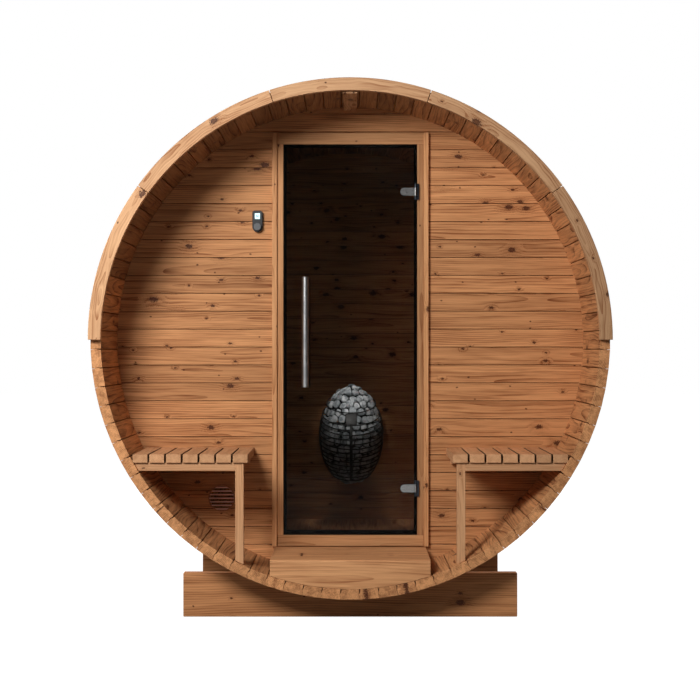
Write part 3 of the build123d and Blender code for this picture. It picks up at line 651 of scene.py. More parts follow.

# %% [markdown]
# ## The two arches
# Each arch has five boards, with a hair of a joint between them. They get paler to the left as painted
# light, from the lamp on that side, so every board has its own tone.

# %% Hang the arches
for name, y_near, y_far in (("front_arch", Y_FRONT - TRIM_THICKNESS, Y_FRONT),
                            ("rear_arch", Y_REAR, Y_REAR + TRIM_THICKNESS)):
    boards = []
    for n, tone in enumerate(TRIM_PAINTED_LIGHT):
        start = -90 + TRIM_BOARD * n + TRIM_JOINT * (n > 0) / 2
        stop = -90 + TRIM_BOARD * (n + 1) - TRIM_JOINT * (n < 4) / 2
        boards.append(arch_board(y_near, y_far, start, stop, tone))
    join_boards(name, boards, trim_wood, [name + "_trim"])

# %% [markdown]
# ## The crown batten
# A short batten closes the joint under the porch's crown. It is one board like any other.

# %% Batten
BATTEN_HALF, BATTEN_LOW, BATTEN_HIGH = 0.029, 0.996, 1.02

batten = board_in_round(INNER, (-BATTEN_HALF, BATTEN_HALF), (Y_FRONT, Y_WALL),
                        (BATTEN_LOW, BATTEN_HIGH), "y", 0.002)
join_boards("ceiling_batten", [batten], trim_wood, ["crown_batten"])

# %% [markdown]
# ## Walls of matchboard
# Both end walls are level boards with a tongue in each joint. A joint shows as a thin dark line, so
# the boards here stand a hair apart, and a tongue plate behind the gap keeps it closed. The plate is
# darkened as painted shade.

# %% Rows of boards
ROW = 0.07765                      # height of one wall board
ROWS_BY_DOOR = 24
TOP_JOINT = 0.9036                 # the wall joint just above the door
LOWER_JOINT = TOP_JOINT - ROWS_BY_DOOR * ROW
WALL_ROUND = 1.0165                # the boards' ends lie in a groove of the staves
SEAM = 0.0013                      # half of the open joint


def rows(low, high):
    """Lower and upper limit of each wall board between two heights."""
    joints = [TOP_JOINT - k * ROW for k in range(-2, ROWS_BY_DOOR + 2)]
    inside = [j for j in joints if low + 0.001 < j < high - 0.001]
    edges = [high] + inside + [low]
    return [(b + SEAM, a - SEAM) for a, b in zip(edges, edges[1:])]


def wall_boards(x, y, z):
    """Level boards between two sides. A sliver of a row is left out."""
    return [board_in_round(WALL_ROUND, x, y, row, "x", 0.0012, chance.uniform(0.2, 0.9))
            for row in rows(*z) if row[1] - row[0] > 0.003]


def tongues(x, y, z):
    """The tongue plate behind the joints, a little smaller than the wall, darkened as painted shade.
    """
    middle, half, inset = (y[0] + y[1]) / 2, 0.004, 0.002
    return [board_in_round(WALL_ROUND - 2 * inset, (x[0] + inset, x[1] - inset),
                           (middle - half, middle + half), (z[0] + inset, z[1] - inset), "x",
                           0.0005, tone=-1.2, knots=0.0)]


print("a full wall has", len(rows(-WALL_ROUND, WALL_ROUND)), "rows")

# %% [markdown]
# ## The round hole for the vent
# The air vent sits over a hole in the wall. Sawing a round hole is what a Boolean modifier does
# well, but it needs clean closed shapes: run on the whole wall, where the tongue plate passes
# through the boards, it loses boards. So each board is drilled by itself before they are joined,
# and the points that the drill makes get the board's marks again.

# %% Drill a board
VENT_X, VENT_Z, VENT_HOLE = -0.556, -0.682, 0.050


def drilled(board):
    """The level board with the vent's hole through it, where they meet."""
    heights = [v.co.z - AXIS for v in board.verts]
    if min(heights) > VENT_Z + VENT_HOLE or max(heights) < VENT_Z - VENT_HOLE:
        return board
    first = board.verts[:][0]
    start = first[board.verts.layers.float_vector["grain"]] - first.co.xzy
    tone, knots = (first[board.verts.layers.float[mark]] for mark in ("tone", "knots"))
    bit = bmesh.new()
    bmesh.ops.create_cone(bit, cap_ends=True, segments=48, radius1=VENT_HOLE, radius2=VENT_HOLE,
                          depth=0.2)
    place = Matrix.Translation((VENT_X, Y_WALL, AXIS + VENT_Z)) @ UPRIGHT
    bmesh.ops.transform(bit, matrix=place, verts=bit.verts[:])
    piece, bit = as_object("board", board), as_object("bit", bit)
    cut = piece.modifiers.new("hole", "BOOLEAN")
    cut.operation, cut.solver, cut.object = "DIFFERENCE", "EXACT", bit
    ready = piece.evaluated_get(bpy.context.evaluated_depsgraph_get())
    result = bmesh.new()
    result.from_mesh(ready.data)
    for spare in (piece, bit):
        bpy.data.objects.remove(spare)
    layers = result.verts.layers
    for v in result.verts:
        v[layers.float_vector["grain"]] = start + v.co.xzy
        v[layers.float["tone"]], v[layers.float["knots"]] = tone, knots
    print("drilled a board, now", len(result.faces), "faces")
    return result


print("the vent's hole is", round(2000 * VENT_HOLE), "mm across")

# %% [markdown]
# ## The two end walls
# The front wall is built round the door: full boards above and below it, short ones beside it.

# %% Walls
DOOR_HALF, DOOR_LOW, DOOR_HIGH = 0.317, -0.890, 0.898    # outside of the door's frame
WALL_EDGE = 1.02                                         # past the round of the wall
TONGUE_EDGE = 0.968
front, rear = (Y_WALL, Y_WALL_BACK), (Y_REAR_WALL, Y_REAR_WALL_BACK)
full, door = (-WALL_EDGE, WALL_EDGE), (-DOOR_HALF, DOOR_HALF)
left, right = (-WALL_EDGE, -DOOR_HALF), (DOOR_HALF, WALL_EDGE)
beside, beside_tongues = (LOWER_JOINT, TOP_JOINT), (-TONGUE_EDGE, TONGUE_EDGE)
boards = wall_boards(full, front, (TOP_JOINT, WALL_ROUND))
boards += wall_boards(full, front, (-WALL_ROUND, LOWER_JOINT))
boards += wall_boards(right, front, beside) + tongues(right, front, beside_tongues)
left_boards = wall_boards(left, front, beside) + tongues(left, front, beside_tongues)
boards += [drilled(board) for board in left_boards]
boards += wall_boards(door, front, (DOOR_HIGH, TOP_JOINT))
boards += wall_boards(door, front, (LOWER_JOINT, DOOR_LOW))
boards += tongues(door, front, (DOOR_HIGH, WALL_ROUND)) + tongues(door, front, (-WALL_ROUND, DOOR_LOW))
join_boards("wall_with_the_door", boards, wall_wood,
            ["front_wall_left", "front_wall_right", "front_wall_over_door", "front_wall_under_door"])
round_high = (-WALL_ROUND, WALL_ROUND)
rear_boards = wall_boards(full, rear, round_high) + tongues(full, rear, round_high)
join_boards("wall_at_the_rear", rear_boards, wall_wood, ["rear_wall"])

# %% [markdown]
# ## The door's wooden frame
# Two jambs, a head and a sill line the opening, and two narrow casings cover the joint with the
# wall. They are planed clear boards, so they get few knots.

# %% Jambs, head, sill and casings
OPENING_HALF, OPENING_LOW, OPENING_HIGH = 0.2897, -0.842, 0.849
CASING_HALF = 0.338
FRAME_DEPTH, CASING_DEPTH = (-0.593, -0.543), (-0.605, -0.585)


def frame_board(name, node, places, depth, z, run, easing, looks):
    """A frame's board, or a pair, with the tone and the knots of each."""
    boards = [board_in_round(WIDE, x, depth, z, run, easing, *look)
              for x, look in zip(places, looks)]
    join_boards(name, boards, frame_wood, [node])


# painted shade: the right jamb gets a much darker tone than the left one
frame_board("jambs", "door_jambs", [(-DOOR_HALF, -OPENING_HALF), (OPENING_HALF, DOOR_HALF)],
            FRAME_DEPTH, (OPENING_LOW, OPENING_HIGH), "z", 0.0012, [(0.75, 0.15), (-0.05, 0.15)])
frame_board("head", "door_head", [door], FRAME_DEPTH, (OPENING_HIGH, DOOR_HIGH), "x", 0.0012,
            [(0.3, 0.3)])
frame_board("sill", "door_sill", [door], FRAME_DEPTH, (DOOR_LOW, OPENING_LOW), "x", 0.0028,
            [(0.45, 0.4)])
frame_board("casings", "door_casings", [(-CASING_HALF, -DOOR_HALF), (DOOR_HALF, CASING_HALF)],
            CASING_DEPTH, (DOOR_LOW, DOOR_HIGH), "z", 0.0015, [(1.1, 0.35), (1.1, 0.35)])

# %% [markdown]
# ## Benches
# Each bench is a row of short slats that run from the wall to the front, on a rail between the
# post and the staves. The outermost slat is scribed to the round of the barrel, which the blank
# of the board gives by itself.

# %% Slats
SEAT_LOW, SEAT_HIGH = -0.497, -0.463
SLATS, SLAT_START, SLAT_PITCH, SLAT_WIDTH = 7, 0.415, 0.0675, 0.0600


def mirrored(span, side):
    """A span of X on the right side, or its mirror on the left."""
    return span if side > 0 else (-span[1], -span[0])


def slats(side):
    """The slats of a bench. Their sawn sides, which face each other across a slit, get painted shade.
    """
    boards = []
    for n in range(SLATS):
        start = SLAT_START + n * SLAT_PITCH
        bm = board_in_round(SCRIBE, mirrored((start, start + SLAT_WIDTH), side), (Y_FRONT, Y_WALL),
                            (SEAT_LOW, SEAT_HIGH), "y", 0.0014, chance.uniform(0.35, 1.1),
                            chance.choice((0.0, 0.2, 0.6)))
        bm.normal_update()
        shade = bm.verts.layers.float["tone"]
        # painted shade: the slat sides that face a slit are darkened
        for v in bm.verts:
            if abs(v.normal.x) > 0.75 and abs(v.co.x) > 0.42:
                v[shade] = -1.6
        boards.append(bm)
    return boards


join_boards("seat_right", slats(1), bench_wood, ["right_bench_slats"])
join_boards("seat_left", slats(-1), bench_wood, ["left_bench_slats"])

# %% [markdown]
# ## What carries the seats
# Under each seat a front rail and a cleat at the wall run out to the staves, and a post stands at
# the free end. The left bench mirrors the right one. A Mirror modifier would also mirror the
# grain, so both are sawn.

# %% Rails and posts
POST_IN, POST_OUT, POST_FOOT = 0.432, 0.466, -1.0
RAIL_LOW, RAIL_END = -0.5305, 1.0
POST_DEPTH, CLEAT_DEPTH = (-1.003, -0.969), (-0.619, -0.585)


def bench_stick(side, x, y, low, run, *look):
    """A rail, a cleat or a post under the slats."""
    return board_in_round(SCRIBE, mirrored(x, side), y, (low, SEAT_LOW), run, 0.0015, *look)


rails, posts = [], []
for side in (1, -1):
    rails.append(bench_stick(side, (POST_OUT, RAIL_END), POST_DEPTH, RAIL_LOW, "x", 0.53, 0.3))
    rails.append(bench_stick(side, (POST_IN, RAIL_END), CLEAT_DEPTH, RAIL_LOW, "x", 0.53, 0.3))
    posts.append(bench_stick(side, (POST_IN, POST_OUT), POST_DEPTH, POST_FOOT, "z", 0.75, 0.1))
join_boards("bench_frame_rails", rails, bench_wood, ["bench_rails"])
join_boards("bench_frame_posts", posts, bench_wood, ["bench_posts"])

# %% [markdown]
# ## The porch's front board
# The porch floor ends in one wide board with a rounded top edge, scribed to the staves below. Its
# long top edge gets a bigger bevel than the others, so it is rounded first.

# %% Front board
PORCH_HALF, PORCH_TOP = 0.325, -0.890
FASCIA_BACK = -0.987

fascia = round_blank(SCRIBE)
for side in (-1, 1):
    saw(fascia, (side * PORCH_HALF, 0, AXIS), (side, 0, 0))
saw(fascia, (0, 0, AXIS + PORCH_TOP), Z)
thicken(fascia, Y_FRONT, FASCIA_BACK)
brow = [e for e in fascia.edges
        if all(v.co.z > AXIS + PORCH_TOP - 1e-4 and v.co.y < Y_FRONT + 1e-5 for v in e.verts)]
soften(fascia, brow, 0.008, 5)
ease(fascia, 0.0015, sharp=50)
log_marks(fascia, X, Z, Y, (0, -1.0, AXIS - 0.95), tone=1.15, knots=0.3)
join_boards("floor_front_board", [fascia], floor_wood, ["porch_fascia"])

# %% [markdown]
# ## The porch floor
# Four boards lie across the porch on two scribed bearers. The bearers' width is read from the
# model's own part, so they can't stick out of it.

# %% Floor boards and bearers
PORCH_LOW = -0.918
PORCH_PITCH, PORCH_BOARD, PORCH_GAP = 0.0935, 0.0925, 0.0008
BEARER, BEARER_FOOT = 0.040, -1.01

porch = []
for n in range(4):
    near = FASCIA_BACK + n * PORCH_PITCH
    porch.append(board_in_round(WIDE, (-PORCH_HALF, PORCH_HALF),
                                (near + PORCH_GAP, near + PORCH_BOARD), (PORCH_LOW, PORCH_TOP),
                                "x", 0.0015, chance.uniform(0.9, 1.2)))
join_boards("porch_floor_boards", porch, floor_wood, ["porch_floor"])
low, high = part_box("porch_bearers")
bearers = [board_in_round(SCRIBE, (low.x, high.x), (y, y + BEARER), (BEARER_FOOT, PORCH_LOW), "x",
                          0.002)
           for y in (low.y + BEARER / 2, Y_WALL - BEARER)]
join_boards("porch_floor_bearers", bearers, floor_wood, ["porch_bearers"])

# %% [markdown]
# ## The room's floor
# The room has its own lower floor, whose boards run to the rear. It shows only through the dark glass,
# so its boards get the palest tone of all as painted light, with open joints between them.

# %% Room floor
ROOM_START, ROOM_PITCH, ROOM_BOARD = -0.355, 0.071, 0.069
ROOM_LOW, ROOM_TOP = -0.971, -0.943

# painted light: a tone of 1.9 keeps these boards bright behind the dark glass
room = []
for n in range(10):
    start = ROOM_START + n * ROOM_PITCH
    room.append(board_in_round(SCRIBE, (start, start + ROOM_BOARD), (Y_WALL_BACK, Y_REAR_WALL),
                               (ROOM_LOW, ROOM_TOP), "y", 0.0012, 1.9, 0.1))
join_boards("room_floor_boards", room, floor_wood, ["room_floor"])

# %% [markdown]
# ## Cradles
# Three thick boards stand on edge under the barrel, each with a hollow cut to the same round. The
# hollow's edge is a point spun about the barrel's axis, and the straight edges close the outline.

# %% The hollowed boards
CRADLE_TOP, CRADLE_HALF, CRADLE_HALF_DEPTH = 0.182, 0.6945, 0.025
CRADLE_PLACES = (-0.818, 0.0, 0.818)


def cradle(y):
    """A board on edge whose hollow holds the barrel."""
    bm = bmesh.new()
    reach = math.asin(math.sqrt(OUTER**2 - (AXIS - CRADLE_TOP)**2) / OUTER)
    first = bm.verts.new((-OUTER * math.sin(reach), 0, AXIS - OUTER * math.cos(reach)))
    bmesh.ops.spin(bm, geom=[first], cent=(0, 0, AXIS), axis=Y, dvec=(0, 0, 0),
                   angle=-2 * reach, steps=28, use_merge=False, use_duplicate=False)
    hollow = bm.verts[:]
    ends = [max(hollow, key=lambda v: v.co.x)]
    for x, z in ((1, CRADLE_TOP), (1, 0), (-1, 0), (-1, CRADLE_TOP)):
        ends.append(bm.verts.new((x * CRADLE_HALF, 0, z)))
    ends.append(min(hollow, key=lambda v: v.co.x))
    for a, b in zip(ends, ends[1:]):
        bm.edges.new((a, b))
    bmesh.ops.contextual_create(bm, geom=bm.edges[:])
    thicken(bm, y - CRADLE_HALF_DEPTH, y + CRADLE_HALF_DEPTH)
    ease(bm, 0.0028, sharp=50)
    log_marks(bm, X, Z, Y, (0, y, 0.09), tone=0.8, knots=0.35)
    return bm


join_boards("cradle_boards", [cradle(y) for y in CRADLE_PLACES], cradle_wood,
            ["cradles"])

# %% [markdown]
# ## Steel, rubber and plastic
# The small parts keep the model's own shapes and only need finishes. Brushed steel has fine lines
# along the way it was rubbed, moulded plastic a faint sand texture, and rubber a dull bloom.

# %% A shared texture for small parts
def fine_marks_group():
    """Roughness, height and smudges of a hard surface."""
    group, given, out = new_group(
        "fine marks", [("Stretch", VECTOR, (1.0, 1.0, 1.0)), ("Fine scale", FLOAT, 400.0),
                       ("Low", FLOAT, 0.3), ("High", FLOAT, 0.5)],
        [("Roughness", FLOAT), ("Height", FLOAT), ("Smudge", FLOAT)])
    where = add(group, "ShaderNodeTexCoord").outputs["Object"]
    pulled = vectors(group, "MULTIPLY", where, given["Stretch"])
    lines = noise(group, pulled, given["Fine scale"], 3.0, 0.6)["Fac"]
    cloud = noise(group, where, 14.0, 3.0)["Fac"]
    total = maths(group, "ADD", maths(group, "MULTIPLY", cloud, 0.35),
                  maths(group, "MULTIPLY", lines, 0.65))
    rough = ramp(group, total, 0.35, 0.65, given["Low"], given["High"])
    feed(group, out, {"Roughness": rough, "Height": lines, "Smudge": cloud})
    return group


marks_group = fine_marks_group()
print("fine marks have", len(marks_group.nodes), "nodes")

# %% [markdown]
# ## A finish for hard surfaces
# Steel, plastic and rubber differ in colour, in shine and in how coarse their marks are. One
# helper makes them all, and each takes its own values from the shared group.

# %% Hard finish
def hard_finish(name, colour, other, metallic=0.0, stretch=(1, 1, 1), scale=400.0, rough=(0.3, 0.5),
                bump=0.1, specular=0.5):
    """A metal, plastic or rubber whose colour and roughness vary a little over it."""
    material, tree, shader = new_material(name)
    fine = add(tree, "ShaderNodeGroup", {"Stretch": stretch, "Fine scale": scale, "Low": rough[0],
                                         "High": rough[1]}, node_tree=marks_group).outputs
    shade = ramp(tree, fine["Smudge"], 0.35, 0.65)
    feed(tree, shader, {"Base Color": mix_colours(tree, shade, seen(*colour), seen(*other)),
                        "Metallic": metallic, "Specular IOR Level": specular,
                        "Roughness": fine["Roughness"],
                        "Normal": bumps(tree, fine["Height"], bump, 0.0003)})
    return material


UP_AND_DOWN, SIDE_TO_SIDE, FRONT_TO_REAR = (1, 1, 0.03), (0.03, 1, 1), (1, 0.05, 1)
EVEN = (1, 1, 1)
print("brushed lines are drawn out", round(1 / UP_AND_DOWN[2]), "times")

# %% [markdown]
# ## One finish for each small part
# The lines of a brushed bar run across its length, so the texture is pulled out that way. The
# plastics and the rubber are even, and differ in how dark and how dull they are.

# %% Finishes for small parts
steel_upright = hard_finish("brushed steel bar", (150, 150, 149), (128, 128, 128), 1.0,
                            UP_AND_DOWN, 900.0, (0.26, 0.4), 0.15)
steel_level = hard_finish("brushed steel fitting", (138, 138, 137), (120, 120, 119), 1.0,
                          SIDE_TO_SIDE, 900.0, (0.24, 0.38), 0.12)
band_steel = hard_finish("band steel", (176, 177, 178), (150, 151, 152), 1.0, FRONT_TO_REAR, 500.0,
                         (0.34, 0.5), 0.12)
black_rubber = hard_finish("black rubber", (15, 12, 10), (21, 17, 14), 0.0, EVEN, 700.0,
                           (0.7, 0.85), 0.1, 0.1)
dark_steel = hard_finish("dark steel plate", (58, 61, 66), (44, 46, 50), 1.0, UP_AND_DOWN, 900.0,
                         (0.24, 0.36), 0.12)
black_plastic = hard_finish("black plastic", (19, 19, 20), (26, 26, 27), 0.0, EVEN, 1500.0,
                            (0.36, 0.5), 0.12, 0.3)
grey_plastic = hard_finish("grey plastic", (58, 60, 62), (70, 72, 74), 0.0, EVEN, 1500.0,
                           (0.35, 0.5), 0.1, 0.5)
cage_black = hard_finish("black steel", (20, 20, 21), (30, 30, 31), 0.0, EVEN, 500.0,
                         (0.38, 0.55), 0.15, 0.45)
print("finishes so far:", len(bpy.data.materials))

# %% [markdown]
# ## The vent's two tones
# The vent's rim has the colour of the wall, and only its blades are pale, with painted shade on their
# edges. All of it is one moulding, so the material finds the rim by its distance from the vent's
# middle, and a blade's shaded edges by their height.

# %% The vent's finish
VENT_RIM = 0.053                   # inside of the rim, from the vent's middle
BLADE_PITCH = 0.0154


def vent_finish():
    """Pale plastic, painted like the wall on its rim, with painted shade on the blades' edges."""
    material = hard_finish("vent plastic", (244, 200, 184), (232, 184, 168), 0.0, EVEN, 900.0,
                           (0.5, 0.65), 0.1, 0.3)
    tree = material.node_tree
    shader = tree.nodes["Principled BSDF"]
    pale = shader.inputs["Base Color"].links[0].from_socket
    where = add(tree, "ShaderNodeTexCoord").outputs["Object"]
    away = vectors(tree, "SUBTRACT", where, (VENT_X, 0.0, AXIS + VENT_Z))
    away = vectors(tree, "LENGTH", vectors(tree, "MULTIPLY", away, (1.0, 0.0, 1.0)))
    rim = ramp(tree, away, VENT_RIM - 0.0005, VENT_RIM + 0.0005)
    height = add(tree, "ShaderNodeSeparateXYZ", {0: where}).outputs["Z"]
    blade = maths(tree, "ADD", maths(tree, "MULTIPLY", height, 1 / BLADE_PITCH),
                  0.5 - (AXIS + VENT_Z) / BLADE_PITCH)
    blade = maths(tree, "ABSOLUTE", maths(tree, "SUBTRACT", maths(tree, "FRACT", blade), 0.5))
    # painted shade on the rounded edges of the blades
    pale = mix_colours(tree, ramp(tree, blade, 0.15, 0.21), pale, seen(74, 38, 26))
    feed(tree, shader, {"Base Color": mix_colours(tree, rim, pale, seen(168, 112, 74))})
    return material


vent_plastic = vent_finish()
print("the vent's finish has", len(vent_plastic.node_tree.nodes), "nodes")

# %% [markdown]
# ## The model's own parts
# These parts were modelled in full, so they keep their shapes and only put on their finishes.

# %% Put the finishes on
def dress(node, finish):
    """Gives one of the model's own parts its finish."""
    part = parts[node]
    part.data.materials.clear()
    part.data.materials.append(finish)


finishes = {
    "door_handle_outer": steel_upright, "door_handle_inner": steel_upright,
    "door_hinge_arms": steel_level, "door_hinge_plates": dark_steel, "steel_bands": band_steel,
    "door_gasket": black_rubber, "controller_case": black_plastic,
    "controller_knob": grey_plastic, "wall_vent": vent_plastic, "heater_bracket": cage_black}
for node, finish in finishes.items():
    dress(node, finish)
print("dressed", len(finishes), "of the model's own parts")

# %% [markdown]
# ## Smoked glass
# The door is a pane of brown-grey glass. A real pane takes a share of the light each time it goes
# through, so the tint is in the transmission. For shadow rays the material turns into a plain
# see-through tint, or the room behind it would stay black.

# %% The pane's material
def smoked_glass(tint, shadow_tint):
    """Glass with a faint film, and a plain tint for the light that passes it."""
    material, tree, shader = new_material("smoked glass")
    film = noise(tree, add(tree, "ShaderNodeTexCoord").outputs["Object"], 3.0, 4.0)["Fac"]
    colour = mix_colours(tree, ramp(tree, film, 0.3, 0.7), seen(*tint),
                         seen(*[c * 0.96 for c in tint]))
    feed(tree, shader, {"Transmission Weight": 1.0, "IOR": 1.12, "Base Color": colour,
                        "Roughness": ramp(tree, film, 0.3, 0.7, 0.0, 0.03)})
    clear = add(tree, "ShaderNodeBsdfTransparent", {"Color": seen(*shadow_tint)})
    mix = add(tree, "ShaderNodeMixShader", {
        0: add(tree, "ShaderNodeLightPath").outputs["Is Shadow Ray"],
        1: shader.outputs["BSDF"], 2: clear.outputs["BSDF"]})
    feed(tree, tree.nodes["Material Output"], {"Surface": mix.outputs["Shader"]})
    return material


dress("door_glass", smoked_glass((172, 170, 166), (84, 81, 77)))

# %% [markdown]
# ## Where the heater's stones lie
# The heater is an egg of broken stones in a wire cage. Points scattered by chance alone would
# bunch up and leave holes, so they are laid in rings round the egg, each a little off its place.

# %% Places for stones
HEATER = Vector((0.005, 0.685, AXIS - 0.479))
EGG_RADIUS, EGG_HALF_HEIGHT = 0.1612, 0.2575
STONE_SPACING, STONE_SINK = 0.042, 0.024
ABOUT_A_TURN = 6.28


def stone_places(spacing):
    """Points spread over the egg, in rings from its dome down to its foot."""
    places, polar = [], 0.0
    while polar < math.pi:
        width, rise = EGG_RADIUS * math.sin(polar), EGG_HALF_HEIGHT * math.cos(polar)
        out = Vector((math.sin(polar) / EGG_RADIUS, 0, math.cos(polar) / EGG_HALF_HEIGHT))
        out.normalize()
        count = max(1, round(2 * math.pi * width / spacing))
        start = chance.uniform(0, ABOUT_A_TURN)
        for n in range(count):
            turn = Matrix.Rotation(start + 2 * math.pi * (n + chance.uniform(-0.22, 0.22)) / count,
                                   3, "Z")
            outward = turn @ out
            skin = turn @ Vector((width, 0, rise + chance.uniform(-0.007, 0.007)))
            places.append((skin - outward * STONE_SINK, outward))
        polar += spacing * 0.95 / math.hypot(EGG_RADIUS * math.cos(polar),
                                             EGG_HALF_HEIGHT * math.sin(polar))
    return places


places = stone_places(STONE_SPACING)
print("places for", len(places), "stones")

# %% [markdown]
# ## Broken stones
# Loose balls of noise would leave the heater full of holes. Broken stones lie face to face, so
# each one here starts as a low ball that is pressed flat against a plane halfway to every
# neighbour, and against the wires in front.

# %% Press the stones
STONE_BALL, NEIGHBOUR_REACH = 0.036, 0.07
CREVICE_SHADE_DEPTH = 0.014


def any_way(spread):
    """Three chance numbers about nothing."""
    return Vector([chance.gauss(0, spread) for _ in range(3)])


def stone(place, outward, others):
    """A broken stone, pressed flat towards its neighbours and towards the cage."""
    bm = bmesh.new()
    bmesh.ops.create_icosphere(bm, subdivisions=2, radius=STONE_BALL)
    turn = Matrix.Rotation(chance.uniform(0, ABOUT_A_TURN), 4, any_way(1))
    bmesh.ops.transform(bm, matrix=turn, verts=bm.verts[:])
    ways = [other - place for other, _ in others]
    flats = [(way.normalized(), way.length * chance.uniform(0.43, 0.49))
             for way in ways if 0 < way.length < NEIGHBOUR_REACH]
    top = chance.uniform(0.0185, 0.0245)
    flats.append((outward, top))
    for _ in range(5):
        lean = (outward + any_way(0.55)).normalized()
        flats.append((lean, chance.uniform(0.019, 0.026)))
    for side, limit in flats:
        for v in bm.verts:
            over = v.co.dot(side) - limit
            if over > 0:
                v.co -= side * over
    bmesh.ops.smooth_vert(bm, verts=bm.verts[:], factor=0.25, use_axis_x=True, use_axis_y=True,
                          use_axis_z=True)
    # painted shade: each point's depth below the stone's top darkens the crevices
    shade, low = bm.verts.layers.float.new("tone"), bm.verts.layers.float.new("crevice_shade")
    tone = chance.random()
    for v in bm.verts:
        v[shade] = tone
        v[low] = (top - v.co.dot(outward)) / CREVICE_SHADE_DEPTH
    bmesh.ops.translate(bm, verts=bm.verts[:], vec=HEATER + place)
    return bm


stones = [stone(place, outward, places) for place, outward in places]
print("the heater holds", len(stones), "stones")

# %% [markdown]
# ## The colour of stone
# Each stone has its own grey, with darker clouds and pale grit. Deep between the stones it is almost
# black, a painted shade that each point's depth mark sets.

# %% Stone finish
def stone_finish():
    """Grey stone with painted shade in the crevices."""
    material, tree, shader = new_material("heater stone")
    where = add(tree, "ShaderNodeTexCoord").outputs["Object"]
    tone, low = (add(tree, "ShaderNodeAttribute", attribute_name=mark).outputs["Fac"]
                 for mark in ("tone", "crevice_shade"))
    cloud = noise(tree, where, 38.0, 5.0, 0.65)["Fac"]
    grit = noise(tree, where, 320.0, 3.0)["Fac"]
    body = mix_colours(tree, tone, seen(168, 176, 182), seen(222, 226, 230))
    # the last colour is painted shade deep between the stones
    for value, start, stop, colour in ((cloud, 0.42, 0.62, (118, 126, 132)),
                                       (grit, 0.58, 0.7, (228, 232, 234)),
                                       (low, 0.35, 1.25, (20, 22, 24))):
        body = mix_colours(tree, ramp(tree, value, start, stop), body, seen(*colour))
    height = maths(tree, "ADD", cloud, maths(tree, "MULTIPLY", grit, 0.4))
    feed(tree, shader, {"Base Color": body, "Roughness": ramp(tree, grit, 0.3, 0.7, 0.65, 0.85),
                        "Normal": bumps(tree, height, 0.5, 0.002)})
    return material


join_boards("stones", stones, stone_finish(), ["heater_stones"])

# %% [markdown]
# ## The wire cage
# Tilted rings hold the stones. A ring is a small circle spun right round the heater's axis and
# then leaned forward on the egg. A plain torus would be quicker, but a leaning cut through an egg
# isn't a circle. The model's own cage has more faces than the eye needs, so this one stands for it.

# %% Rings
TILT = math.radians(20.0)
CAGE_RADIUS, CAGE_HALF_HEIGHT = 0.168, 0.262
WIRE, SPIN_RADIUS = 0.0029, 0.1
TOP_RING, SECOND_RING, RING_PITCH, RINGS_BELOW = 0.172, 0.1146, 0.0246, 13


def cage_radius(height):
    """Half the width of the egg-shaped cage at a height from its middle."""
    return CAGE_RADIUS * math.sqrt(max(0.0, 1 - (height / CAGE_HALF_HEIGHT) ** 2))


def cage_ring(height):
    """A ring that follows the egg where a leaning plane crosses it."""
    bm = bmesh.new()
    bmesh.ops.create_circle(bm, cap_ends=False, segments=8, radius=WIRE)
    bmesh.ops.transform(bm, matrix=UPRIGHT, verts=bm.verts[:])
    bmesh.ops.translate(bm, verts=bm.verts[:], vec=(SPIN_RADIUS, 0, 0))
    bmesh.ops.spin(bm, geom=bm.verts[:] + bm.edges[:], cent=(0, 0, 0), axis=Z, dvec=(0, 0, 0),
                   angle=2 * math.pi, steps=72, use_merge=True, use_duplicate=False)
    slope = math.tan(TILT)
    for v in bm.verts:
        flat = Vector((v.co.x, v.co.y, 0))
        out = flat.normalized()
        reach = SPIN_RADIUS
        for _ in range(12):
            reach = cage_radius(height + slope * out.y * reach)
        rise = Vector((0, 0, v.co.z + height + slope * out.y * reach))
        v.co = out * (reach - WIRE + flat.length - SPIN_RADIUS) + rise
    bmesh.ops.recalc_face_normals(bm, faces=bm.faces[:])
    bmesh.ops.translate(bm, verts=bm.verts[:], vec=HEATER)
    return bm


cage = [cage_ring(TOP_RING)] + [cage_ring(SECOND_RING - RING_PITCH * n)
                                for n in range(RINGS_BELOW + 1)]
print("the cage has", len(cage), "rings")

# %% [markdown]
# ## Upright strips
# Four flat strips tie the rings, from the top ring down to the heater's foot. The front one starts
# lower, because the small plate takes its place there. Each is a narrow grid bent to the egg.

# %% Strips
STRIP_INSET, STRIP_HALF_WIDTH, STRIP_THICKNESS = 0.008, 0.007, 0.003
STRIP_FOOT = -0.9                  # as a share of the cage's half height


def cage_strip(angle, top):
    """A flat strip down the side of the egg."""
    bm = bmesh.new()
    bmesh.ops.create_grid(bm, x_segments=1, y_segments=26, size=1.0)
    out = Vector((math.cos(angle), math.sin(angle), 0))
    side = Vector((-math.sin(angle), math.cos(angle), 0))
    for v in bm.verts:
        share = (v.co.y + 1) / 2
        z = CAGE_HALF_HEIGHT * (STRIP_FOOT + (top / CAGE_HALF_HEIGHT - STRIP_FOOT) * share)
        v.co = (HEATER + out * (cage_radius(z) - STRIP_INSET) + side * v.co.x * STRIP_HALF_WIDTH
                + Vector((0, 0, z)))
    grow(bm, -out * STRIP_THICKNESS)
    ease(bm, 0.0006, sharp=50)
    return bm


for degrees in (270, 0, 90, 180):
    angle = math.radians(degrees)
    lean = (cage_radius(0.1) * math.tan(TILT) + 0.004) * math.sin(angle)
    cage.append(cage_strip(angle, (SECOND_RING if degrees == 270 else TOP_RING) + lean))
print("the cage has", len(cage), "rings and strips")

# %% [markdown]
# ## A small plate on the cage
# A blank plate ties the two top rings in front and leans with them. A scaled cube would have sharp
# corners in its outline. The corners of a flat grid can be rounded before it gets its thickness.

# %% The plate
TIE_SIZE, TIE_LEAN = 0.058, math.radians(76)
TIE_PLACE = Vector((0, -0.1585, 0.086))      # from the heater's middle


